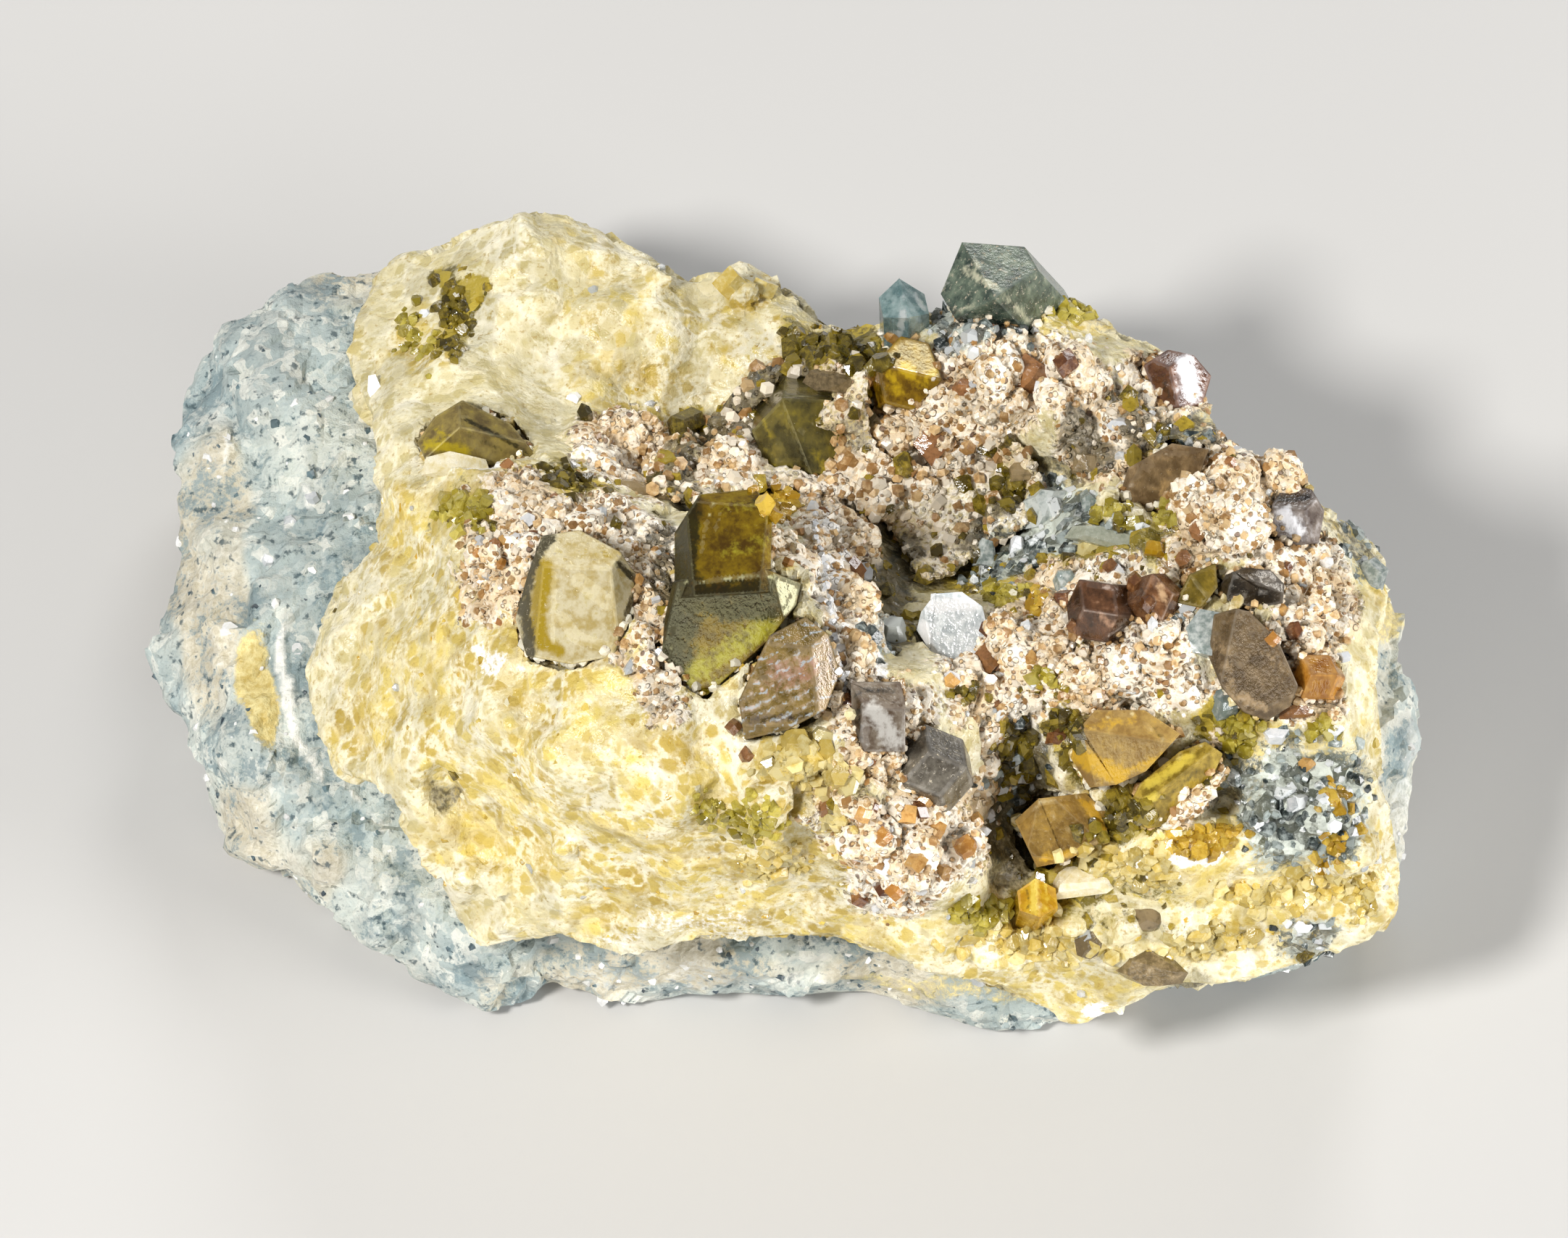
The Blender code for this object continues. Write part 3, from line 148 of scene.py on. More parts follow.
def facet_height(points, size, seed):
    """Height of flat tilted grain faces, about -0.7 to 0.7."""
    tone, offset, _ = grains(points, size, seed)
    tilt = random3(tone * 4096.0, seed + 7) - 0.5
    return (tilt * offset).sum(axis=1) * 1.2 + (tone[:, 0] - 0.5)


def dome_of(offset, radius_squared):
    return np.sqrt(np.clip(1.0 - (offset ** 2).sum(axis=1) / radius_squared, 0.0, 1.0))


def beads(points, size, seed):
    """Round beads with gaps between them, 0 to 1."""
    tone, offset, _ = grains(points, size, seed)
    return dome_of(offset, (0.42 + 0.2 * tone[:, 1]) ** 2) * (tone[:, 0] > 0.25)


def packed_lumps(points, size, seed):
    """Rounded lumps packed together: their domes, and the crevices between some of them, 0 to 1."""
    tone, offset, edge = grains(points + 0.3 * size * noise3(points, size, seed), size, seed + 3)
    return dome_of(offset, 0.6) * (0.6 + 0.4 * tone[:, 2]), (1.0 - fade(edge, 0.06, 0.26)) * (tone[:, 1] > 0.35)


def fade(value, start, end):
    """A smooth step: 0 before the start, 1 past the end."""
    t = np.clip((value - start) / (end - start), 0.0, 1.0)
    return t * t * (3.0 - 2.0 * t)


def area(face, spots):
    """How far points lie within any of some ovals: (across, up, half width, half height, turn, strength)."""
    left = np.ones(len(face))
    for across, up, half_a, half_u, turn, strength in spots:
        c, s = math.cos(math.radians(turn)), math.sin(math.radians(turn))
        da, du = face[:, 0] - across, face[:, 1] - up
        q = np.sqrt(((da * c + du * s) / half_a) ** 2 + ((du * c - da * s) / half_u) ** 2)
        left *= 1.0 - strength * (1.0 - fade(q, 1.0 - SOFT_EDGE, 1.0 + SOFT_EDGE))
    return 1.0 - left


def strokes(face, lines):
    """How near points are to some lines: (across, up, across, up, width, strength)."""
    left = np.ones(len(face))
    for a0, u0, a1, u1, width, strength in lines:
        start, step = np.array((a0, u0)), np.array((a1 - a0, u1 - u0))
        along = np.clip(((face[:, :2] - start) @ step) / max(step @ step, 1e-9), 0.0, 1.0)
        gap = np.linalg.norm(face[:, :2] - start - along[:, None] * step, axis=1)
        left *= 1.0 - strength * (1.0 - fade(gap, 0.15 * width, 1.05 * width))
    return 1.0 - left


# ---- meshes ----

def vectors(mesh, key):
    out = np.empty(len(mesh.vertices) * 3)
    mesh.vertices.foreach_get(key, out)
    return out.reshape(-1, 3)


def coords(mesh):
    """The mesh's corners, in millimetres."""
    return vectors(mesh, "co") / MM


def set_coords(mesh, points):
    mesh.vertices.foreach_set("co", (points * MM).astype(np.float32).ravel())
    mesh.update()


def triangles_of(mesh):
    mesh.calc_loop_triangles()
    index = np.empty(len(mesh.loop_triangles) * 3, dtype=np.int64)
    mesh.loop_triangles.foreach_get("vertices", index)
    return index.reshape(-1, 3)


def add_object(name, data):
    obj = bpy.data.objects.new(name, data)
    bpy.context.scene.collection.objects.link(obj)
    return obj


def evaluated(obj):
    """A new mesh with the object's modifiers applied. The object itself is removed."""
    depsgraph = bpy.context.evaluated_depsgraph_get()
    depsgraph.update()
    mesh = bpy.data.meshes.new_from_object(obj.evaluated_get(depsgraph))
    bpy.data.objects.remove(obj)
    return mesh


def main_body(mesh):
    """Deletes the crumbs, a few faces each, that the remesh leaves beside the largest body."""
    ends = np.empty(2 * len(mesh.edges), np.int32)
    mesh.edges.foreach_get("vertices", ends)
    a, b = ends.reshape(-1, 2).T
    body = np.arange(len(mesh.vertices))
    while (body[a] != body[b]).any():
        lower = np.minimum(body[a], body[b])
        np.minimum.at(body, body[a], lower)
        np.minimum.at(body, body[b], lower)
        body = body[body]
    crumbs = np.nonzero(body != np.bincount(body).argmax())[0]
    work = bmesh.new()
    work.from_mesh(mesh)
    work.verts.ensure_lookup_table()
    bmesh.ops.delete(work, geom=[work.verts[i] for i in crumbs], context="VERTS")
    return finished(work, mesh)


def finished(bm, mesh):
    bm.to_mesh(mesh)
    bm.free()
    return mesh


def remeshed(node, voxel):
    """The node's solid as an even, dense mesh."""
    obj = add_object("work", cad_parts[node].data.copy())
    modifier = obj.modifiers.new("dense", "REMESH")
    modifier.mode = "VOXEL"
    modifier.voxel_size = voxel * MM
    return main_body(evaluated(obj))


def resting(normals):
    """True where a mass lies on what carries it and nothing shows."""
    return (normals @ TOWARD < -0.25) & (normals[:, 2] < -0.45)


def thin_out(mesh, hidden, share):
    """Leaves a share of the faces, and takes them away where the mesh is hidden."""
    obj = add_object("work", mesh)
    obj.vertex_groups.new(name="hidden").add(np.nonzero(hidden)[0].tolist(), 1.0, "REPLACE")
    modifier = obj.modifiers.new("thin", "DECIMATE")
    modifier.ratio = share
    modifier.vertex_group = "hidden"
    modifier.vertex_group_factor = 1000.0
    return evaluated(obj)


def keep_values(mesh, name, columns):
    """Stores up to three values a vertex, for the materials to read."""
    layer = mesh.color_attributes.new(name, "FLOAT_COLOR", "POINT")
    rgba = np.ones((len(mesh.vertices), 4))
    for k, column in enumerate(columns):
        rgba[:, k] = column
    layer.data.foreach_set("color", rgba.astype(np.float32).ravel())


# ---- materials ----

def tint(red, green, blue):
    """Linear colour of a screen colour."""
    return tuple(((c / 255.0 + 0.055) / 1.055) ** 2.4 if c > 10 else c / 255.0 / 12.92
                 for c in (red, green, blue)) + (1.0,)


class Look:
    """One node material, built step by step. Colours are sockets or screen colours."""

    def __init__(self, name):
        self.material = bpy.data.materials.new(name)
        self.material.use_nodes = True
        self.nodes = self.material.node_tree.nodes
        self.shader = self.nodes["Principled BSDF"]
        position = self.nodes.new("ShaderNodeTexCoord").outputs["Object"]
        self.point = self.vector("MULTIPLY", position, (1.0 / MM,) * 3)

    def put(self, socket, value):
        if isinstance(value, bpy.types.NodeSocket):
            self.material.node_tree.links.new(value, socket)
        else:
            socket.default_value = value

    def node(self, kind, inputs, **settings):
        node = self.nodes.new("ShaderNode" + kind)
        for key, value in settings.items():
            setattr(node, key, value)
        for key, value in inputs.items():
            self.put(node.inputs[key], value)
        return node

    def set(self, **inputs):
        for key, value in inputs.items():
            self.put(self.shader.inputs[key.replace("_", " ")], value)
        return self.material

    def math(self, operation, a, b):
        return self.node("Math", {0: a, 1: b}, operation=operation).outputs[0]

    def vector(self, operation, *values):
        return self.node("VectorMath", dict(enumerate(values)), operation=operation).outputs[0]

    def times(self, a, b):
        return self.math("MULTIPLY", a, b)

    def less(self, a, b):
        return self.math("SUBTRACT", a, b)

    def add(self, a, b, factor=1.0):
        return self.math("ADD", a, b if factor == 1.0 else self.times(b, factor))

    def mix(self, share, a, b, blend="MIX"):
        a, b = (tint(*c) if isinstance(c, tuple) else c for c in (a, b))
        return self.node("Mix", {0: share, 6: a, 7: b}, data_type="RGBA", blend_type=blend).outputs[2]

    def ramp(self, value, start, end, low=0.0, high=1.0):
        return self.node("MapRange", {0: value, 1: start, 2: end, 3: low, 4: high},
                         interpolation_type="SMOOTHSTEP").outputs[0]

    def over(self, colour, value, start, end, other, most=1.0):
        """The colour, covered by another one where the value passes from the start to the end."""
        return self.mix(self.ramp(value, start, end, 0.0, most), colour, other)

    def noise(self, size, detail=2.0, rough=0.55, point=None, seed=0.0):
        """Soft noise, 0 to 1, with features of about that size in millimetres."""
        point = point or self.point
        if seed:
            point = self.vector("ADD", point, (seed * 7.3, seed * 3.1, seed * 5.7))
        inputs = {"Vector": point, "Scale": 1.0 / size, "Detail": detail, "Roughness": rough}
        return self.node("TexNoise", inputs).outputs[0]

    def brighten(self, colour, value, low, high):
        """The colour times a factor from low to high."""
        factor = self.ramp(value, 0.0, 1.0, low, high)
        grey = self.node("CombineColor", {0: factor, 1: factor, 2: factor}).outputs[0]
        return self.mix(1.0, colour, grey, "MULTIPLY")

    def warped(self, size, amount):
        """The point, pushed about."""
        noise = self.node("TexNoise", {"Vector": self.point, "Scale": 1.0 / size, "Detail": 1.0})
        centred = self.vector("SUBTRACT", noise.outputs[1], (0.5,) * 3)
        return self.vector("MULTIPLY_ADD", centred, (amount,) * 3, self.point)

    def cells(self, size, point):
        """Voronoi cells of about that size: the distance from the middle, and three random values."""
        node = self.node("TexVoronoi", {"Vector": point, "Scale": 1.0 / size})
        return node.outputs[0], self.split(node.outputs[1])

    def split(self, colour):
        return self.node("SeparateColor", {0: colour}).outputs

    def values(self, name):
        """The three values a vertex that a mesh keeps under this name."""
        return self.split(self.node("Attribute", {}, attribute_name=name).outputs["Color"])

    def bump(self, height, depth):
        """A bumped normal. Depth is in millimetres for a height of 1."""
        return self.node("Bump", {"Height": height, "Distance": depth * MM, "Strength": 1.0}).outputs[0]


def massive_epidote():
    """Granular yellow and cream epidote with white veins, and the beaded beige crust on it."""
    look = Look("massive_epidote")
    crust, yellow, olive = look.values("zones_a")
    white, dark, blue = look.values("zones_b")
    tone = look.values("grain")
    broad, middle, vein = look.values("mottle")
    fine = look.noise(0.2, 3.0, 0.65)
    ragged = look.times(look.less(fine, 0.5), 1.3)
    near, cell = look.cells(0.62, look.warped(0.8, 0.55))

    # massive epidote: translucent yellow grains in a partly white network, with white veins
    rich = look.over((216, 195, 108), cell[0], 0.1, 0.9, (192, 168, 82))
    rich = look.over(rich, tone[1], 0.6, 0.8, (164, 136, 46), 0.5)
    pale = look.over((216, 205, 162), cell[1], 0.1, 0.9, (194, 181, 128))
    amount = look.add(look.add(yellow, look.less(broad, 0.46), 1.4), look.less(cell[2], 0.5), 0.5)
    massive = look.over(pale, amount, 0.2, 0.85, rich)
    spread = look.ramp(look.add(middle, ragged), 0.3, 0.75, 0.25, 0.9)
    rim = look.ramp(look.add(near, ragged, 0.4), 0.38, 0.62)
    massive = look.mix(look.times(rim, spread), massive, (230, 223, 192))
    thread = look.ramp(look.add(vein, ragged, 0.22), 0.02, 0.16, 0.8, 0.0)
    massive = look.mix(look.times(thread, spread), massive, (246, 239, 214))
    massive = look.over(massive, look.add(middle, ragged, 0.5), 0.66, 1.0, (238, 233, 214), 0.5)
    massive = look.over(massive, fine, 0.44, 0.28, (160, 126, 44), 0.6)
    green = look.over((100, 88, 20), cell[0], 0.1, 0.9, (184, 162, 58))
    massive = look.over(massive, look.add(olive, ragged), 0.35, 0.8, green)

    # crust: brown and orange beads in a white and beige net
    bead_near, bead = look.cells(0.3, look.warped(0.4, 0.15))
    ball = look.ramp(look.less(bead_near, look.times(bead[1], 0.2)), 0.14, 0.34, 1.0, 0.0)
    chosen = look.times(ball, look.ramp(bead[0], 0.42, 0.6))
    net = look.over((224, 202, 166), look.add(middle, ragged), 0.3, 0.75, (250, 242, 226))
    bead_colour = look.over((158, 114, 64), bead[2], 0.3, 0.8, (214, 178, 124))
    bead_colour = look.over(bead_colour, bead[1], 0.86, 0.95, (96, 58, 34))
    beaded = look.mix(look.times(chosen, 0.85), net, bead_colour)
    beaded = look.over(beaded, fine, 0.36, 0.24, (70, 48, 30), 0.8)

    mask = look.ramp(look.add(crust, ragged), 0.35, 0.65)
    colour = look.mix(mask, massive, beaded)
    teal = look.over((48, 62, 62), look.add(cell[0], ragged), 0.2, 0.9, (196, 204, 196))
    colour = look.over(colour, look.add(blue, ragged), 0.35, 0.8, teal, 0.9)
    # white zone: white veins, and painted highlights on rims and edges
    colour = look.over(colour, look.add(white, ragged), 0.4, 0.8, (252, 250, 244))
    # dark zone: dark teal and olive in the gaps, and painted shade in gaps, crevices, pits and the hollow
    shade = look.over((26, 36, 38), look.add(near, ragged), 0.1, 0.6, (92, 80, 48))
    colour = look.over(colour, look.add(dark, ragged), 0.4, 1.0, shade, 0.92)
    colour = look.brighten(colour, tone[0], 0.86, 1.1)

    height = look.less(look.times(fine, 0.6), look.times(near, 0.5))
    height = look.add(height, look.times(ball, mask), 1.2)
    return look.set(Base_Color=colour, Roughness=look.ramp(cell[0], 0.2, 0.9, 0.25, 0.6),
                    Normal=look.bump(height, 0.1), Specular_IOR_Level=0.6)


def host_rock_look():
    """Pale granular stone, grey to blue-grey, with dark blue specks, cream patches and white painted glints."""
    look = Look("host_rock")
    cream, streak, white = look.values("zones_a")
    broad, middle, _ = look.values("mottle")
    fine = look.noise(0.3, 4.0, 0.72)
    ragged = look.times(look.less(fine, 0.5), 1.2)
    near, cell = look.cells(0.55, look.warped(0.7, 0.5))
    colour = look.over((168, 180, 178), look.add(broad, ragged), 0.2, 0.8, (202, 207, 198))
    colour = look.over(colour, look.add(cell[0], ragged), 0.4, 1.0, (230, 229, 218), 0.7)
    patch = look.over((192, 184, 160), fine, 0.3, 0.7, (226, 221, 204))
    colour = look.over(colour, look.add(cream, look.less(broad, 0.5), 1.4), 0.35, 0.8, patch)
    speck = look.add(look.times(middle, 0.5), fine, 0.85)
    colour = look.over(colour, speck, 0.64, 0.84, (112, 134, 140), 0.8)
    deep = look.add(look.times(look.noise(0.5, 2.0, 0.6, seed=5.0), 0.8), fine, 0.5)
    colour = look.over(colour, deep, 0.72, 0.84, (60, 80, 86), 0.85)
    stain = look.over((196, 172, 96), fine, 0.3, 0.7, (234, 220, 160))
    colour = look.over(colour, look.add(streak, ragged), 0.4, 0.8, stain)
    # white zone: white grains, and painted highlights along the rims
    colour = look.over(colour, look.add(white, ragged), 0.35, 1.1, (246, 245, 238))
    # painted glints: near-white spots on some grains
    painted_glint = look.less(look.add(cell[2], ragged, 0.5), near)
    colour = look.over(colour, painted_glint, 0.8, 0.92, (255, 254, 250))
    colour = look.brighten(colour, look.values("grain")[0], 0.88, 1.1)
    height = look.less(fine, look.times(near, 0.5))
    return look.set(Base_Color=colour, Roughness=look.ramp(cell[1], 0.6, 1.0, 0.8, 0.3),
                    Normal=look.bump(height, 0.12))


def crystal_look(name, deep, middle, bright, clear, rough, stripes, dust, cloud, ruled=0.0):
    """Glassy crystal: fine lines along one direction of the display face, cloudy depths, a little dust.
    The marks are its bright bands, painted highlights where they are white; its dark sides, painted shade; and
    its pale edges; ruled is the spacing of its pale growth lines."""
    look = Look(name)
    turn = direction(*stripes, 0.0).to_track_quat("Z", "Y").to_matrix().inverted().to_euler()
    lined = look.node("Mapping", {0: look.point, 2: tuple(turn), 3: (1.0, 1.0, 0.06)}).outputs[0]
    band, dark, edge = look.values("marks")
    lines = look.noise(0.16, 3.0, 0.6, lined)
    depth = look.noise(cloud, 3.0, 0.6, seed=4.0)
    patchy = look.noise(0.45, 3.0, 0.6, seed=9.0)
    fleck = look.noise(0.2, 4.0, 0.75, seed=6.0)
    wave = look.less(look.add(lines, patchy, 1.3), 1.15)
    body = look.add(depth, wave, 0.35)
    colour = look.over(deep, body, 0.28, 0.7, middle)
    colour = look.over(colour, body, 0.58, 0.86, tuple(0.5 * (a + b) for a, b in zip(middle, bright)), 0.8)
    # bright bands: colour bands of the crystal, and painted highlights where the bright colour is white
    colour = look.over(colour, look.add(band, wave), 0.15, 0.95, bright)
    # dark sides: painted shade
    colour = look.over(colour, look.add(dark, wave), 0.3, 0.9, tuple(0.18 * c for c in deep), 0.92)
    # paler along the bevelled edges
    pale_edges = look.times(edge, look.ramp(look.add(patchy, fleck, 0.5), 0.65, 0.95))
    colour = look.over(colour, pale_edges, 0.1, 0.8, tuple(min(255.0, 0.4 * b + 145.0) for b in bright), 0.8)
    if ruled:
        across = direction(-stripes[1], stripes[0], 0.0)
        level = look.node("VectorMath", {0: look.point, 1: tuple(across)}, operation="DOT_PRODUCT").outputs[1]
        level = look.add(level, look.add(depth, patchy), 0.5)
        line = look.ramp(look.math("PINGPONG", level, 0.5 * ruled), 0.03, 0.07, 1.0, 0.0)
        line = look.times(line, look.ramp(look.add(patchy, lines), 0.94, 1.16, 0.0, 0.85))
        colour = look.mix(line, colour, (172, 182, 186))
    colour = look.brighten(colour, look.values("grain")[0], 0.76, 1.2)
    dusty = look.ramp(fleck, 0.72 - 0.3 * dust, 0.78 - 0.2 * dust)
    colour = look.mix(look.times(dusty, 0.8), colour, (230, 216, 188))
    roughness = look.add(look.ramp(dusty, 0.0, 1.0, rough, 0.6), look.ramp(lines, 0.4, 0.8, 0.0, 0.1))
    roughness = look.add(roughness, look.ramp(edge, 0.05, 0.3, 0.0, 0.4))
    height = look.add(look.times(lines, 0.8), dusty, 0.5)
    gloss = tuple(0.45 + 0.55 * c / max(bright) for c in bright) + (1.0,)
    return look.set(Base_Color=colour, Roughness=roughness, Normal=look.bump(height, 0.025),
                    Transmission_Weight=clear, IOR=1.7, Specular_Tint=gloss)


def grain_look(name, first, second, clear, rough, pale=None, pale_share=0.0):
    """Small fused crystals: each has its own tone, and is cloudy within."""
    look = Look(name)
    tone = look.values("grain")
    fine = look.noise(0.3, 3.0, 0.65)
    colour = look.over(first, look.add(tone[0], look.less(fine, 0.5), 2.6), 0.0, 1.0, second)
    colour = look.over(colour, fine, 0.62, 0.72, tuple(min(255.0, 0.6 * c + 96.0) for c in second), 0.6)
    if pale:
        colour = look.over(colour, look.add(fine, tone[2]), 1.35 - pale_share, 1.5 - pale_share, pale)
    colour = look.brighten(colour, tone[1], 0.75, 1.15)
    return look.set(Base_Color=colour, Roughness=look.add(rough, fine, 0.12), Normal=look.bump(fine, 0.03),
                    Transmission_Weight=clear, IOR=1.65)


# ---- zones on the display face: (across, up, half width, half height, turn in degrees, strength) ----

ZONES = {
    "crust": rows("""
    9.4 10 3.2 2 -14 1, 6.4 8 3.6 1.9 28 1, 4 5.6 3.8 1.5 18 1, 17.4 4.3 2.6 2.6 -30 1, 20.2 .4 1.9 2.8 12 1,
    20.6 -2.6 1.4 1.6 0 1, 9 -2.4 2.9 2.5 0 1, 5.2 -8.9 3.1 2.5 0 1, -9.4 3.4 3 1.9 -12 1,
    -11.2 2.2 1.5 2 20 1, -6 3.2 2.2 1.4 -25 1, -5.2 0 .9 3 0 1, 1.4 2.8 1.4 1.2 0 1, 2.6 1.2 1.3 3 10 1,
    2.4 -2.4 1.2 1.8 0 1, 4 -4.4 2 2 0 1, 12 .4 3.6 2 6 .9, 14.2 -1.6 2.6 1.5 10 .9, 1.8 -7.2 1 1.6 10 .7,
    -4.4 -2.4 1.2 1.6 0 .8, 15.2 9 2 1.6 0 .7, -6.2 6.8 2 1.5 0 .9, -1.9 6.4 1.4 1.2 0 .9,
    16 -6.6 .7 2.2 -40 1, 19.4 5.4 1 1 0 .8, 12.8 7.6 2.2 2.2 0 .9, 8.1 -4.9 .9 2.4 0 .9,
    15.8 -3.1 1.8 .9 0 .9, 12 -2.9 2.4 .8 0 .8, 20.6 2.4 1.2 1.4 30 .7"""),
    "yellow": rows("""
    -9.6 -2.6 7.4 4.4 12 .85, -6 -7.6 7.6 3.6 -6 .95, .4 -9.8 4.4 2.6 0 .95, -14.6 1.6 2.4 3.6 10 .5,
    -1.2 -11.4 5.6 1.6 0 .8, -11 5 2.6 1.8 0 .7, -14.2 10.8 1.2 1.5 0 .9, -1.2 13.3 1.6 .9 0 1,
    .8 10.6 3 .8 -4 .9, 10 -13.4 4.6 2 -6 .6, 17.8 -12 4.2 1.6 10 .75, 23 -9.8 1.6 2.4 0 .8,
    15.8 -8.8 3.2 1 4 1, 20 -4.9 2.6 1 0 .9, 11.4 12.2 1.6 .8 -20 .9, 1.6 -4.8 2.2 1.4 0 .7,
    2.2 -12.2 3 1.2 0 .7, -5.4 9 3 1.4 -10 .5, 23.2 -4.2 .9 3.4 0 .5, 14.6 -9.2 2.6 1.2 0 .7,
    18.6 -10.8 4 1.4 0 .6"""),
    "olive": rows("""
    -13 11.8 1.1 1.5 0 1, -12.4 4.4 1.6 1.1 -10 .5, -3.9 7.7 .9 .9 0 .8, -.8 9.4 1.6 .7 0 .4,
    2.4 10.4 2.6 1 0 .9, 8.6 1.6 2.6 .9 0 .9, 12.6 2.6 2.4 .9 0 .8, -2.2 -7.9 1.2 .9 0 .3, 1 -7.2 1 .8 0 .5,
    9.6 -3.2 1.2 .6 0 .7, 11 -9.8 1.6 1.4 0 .8, 10.2 -10.8 1.4 .8 20 .7, 14 -10.6 2 .8 -12 .6,
    17.8 -4.4 1.4 1 0 .9, 15 3.6 1.6 .9 0 .8, -7.6 5.2 1.8 .7 -20 .8, 13 -7.8 2.2 1.2 20 .85,
    11 -4.6 .9 1.6 10 .8, 16.6 -5.4 1.2 1.4 0 .7, 12.6 -11.9 2 .5 -14 .5, 16.6 -12.4 1.6 .5 10 .5,
    21.4 -10.6 1.4 .6 20 .4"""),
    # white: white veins and seams, and painted highlights on rims and edges
    "white": rows("""
    15 -9.7 2.3 .35 4 .8, 2.2 .4 .4 4.2 8 .9, -11.8 6.3 1.5 .7 -5 .9, -11.8 -1.8 1 .9 0 .7,
    -4 -12.2 3.6 .5 4 .5, 12.5 -15.1 .5 .35 0 .9, 3.6 -2 .4 1.8 0 .8, 7.6 9.4 .5 2.2 15 .5,
    9.2 3.6 1.8 .5 34 .6"""),
    # dark: dark teal in the gaps, and painted shade in the gaps and the hollow
    "dark": rows("""
    -3.9 5.9 .9 1.6 0 .9, 4.4 1.2 1 1.9 14 1, 8.4 4.4 1.2 1.6 -30 .9, 9.1 -5.6 1.1 2.6 0 .95,
    8.9 -9 .9 1.4 0 .9, -4.65 1.2 .5 3.6 0 .9, 13.3 9 .6 1.1 0 .9, 17 -7 .9 .8 20 .9, -13.3 -6.4 .8 .7 0 .8,
    3.8 -6.6 1.6 .5 20 .7, 9.4 0 .5 1.8 0 .6, 20 -12.4 1.4 .6 0 .7, 2.4 7 .8 1.3 0 .8, 11.6 -.9 1.8 .35 0 .5,
    18.4 2.1 1.3 .6 0 .7, 7.8 3.4 1.2 .9 30 .8, 16.9 -6.3 1.2 .6 45 .9, -18.2 .7 .5 1.2 0 .5,
    13 -2.6 1.8 .5 0 .5, 15.4 -10.9 1.2 .4 -20 .5, 14.2 8 .9 1.4 0 .6, 15.4 6.4 1.2 1 0 .5,
    11.6 -7.8 1.6 .5 20 .6, 13.4 -6.9 .8 .5 30 .7, 18.6 -4.9 1.2 .8 0 .4, -12.2 3.2 .9 .4 20 .6,
    5 0 .5 1.4 0 .8, 4.6 -.3 1 .9 0 1, 12.2 7 1.7 .7 -24 .9, 14.9 7.2 1.3 .8 0 .9, 10.9 5.8 1.3 .6 0 .8,
    17.2 6.6 .9 .7 -30 .8, 12.8 -3 2 .4 0 .8"""),
    "blue": rows("""
    20.2 -7.4 2.6 2.7 0 1, 20.2 -12.2 1.4 .9 0 .8, 9.6 2.6 2.6 .8 30 .9, 10.8 4.4 1.6 .9 0 .8,
    7.6 11.8 2.4 1.6 0 .9, 8.9 -5.4 .9 2 0 .7, 15.4 .2 1.1 .9 0 .8, 3.6 -.6 .6 1.2 0 .7, 22.6 2.6 1 1 0 .6,
    13 3.6 1.6 .6 -16 .7, 15.6 7 1.4 1 0 .5"""),
}
ROCK_ZONES = {
    "cream": rows("""
    -22.6 2.6 1.8 6 0 .9, -15.6 13 4 1.6 8 .9, -19.4 -8.8 3 1.6 -38 .6, -6 -13.6 6 1 0 .8,
    10 -15 8 1.2 -10 .8, 23.8 -3 1.6 8 4 .9, -11 -14.2 1.2 1.2 0 1, 4 14 16 2.4 0 .5"""),
    "streak": rows("""
    -20.6 -2.8 .8 2.6 6 1, 6 -14.4 5 .5 -6 .6, 23.2 .4 .8 1.4 0 .7, 23.2 -12 1.2 1 0 .7"""),
    # white: white grains, and painted highlights along the rims
    "white": rows("""
    -19.6 -1.3 .3 1.3 2 .9, -19.4 -3.4 .32 1.5 10 1, -18.6 -5.5 .3 1.3 28 .9, -18.5 4.7 .3 .6 20 .9,
    -19.5 3.7 .3 .4 0 .9, -20.3 2.3 .3 .3 0 .8, -16.1 9 .25 .8 5 1, -16.2 -7.6 1.6 .25 -50 .7,
    24.2 -6.4 .4 3 0 .6, -3 -14 6.5 .5 0 .5, -21.8 -1.6 .3 .3 0 .7, -22 6.6 .25 .3 0 .7"""),
}


def zone_values(face, points, zones, wander=0.9):
    """How far points lie in each zone. The borders are made irregular."""
    moved = face.copy()
    for axis in (0, 1):
        moved[:, axis] += (wander * smooth_noise(points, 1.7, 61 + 2 * axis)
                           + 0.4 * wander * smooth_noise(points, 0.6, 62 + 2 * axis))
    return {name: area(moved, zone) for name, zone in zones.items()}


# ---- the three grown masses: dense skins with broken and beaded relief ----

INWARD = -direction(0.0, 0.0, 1.0)


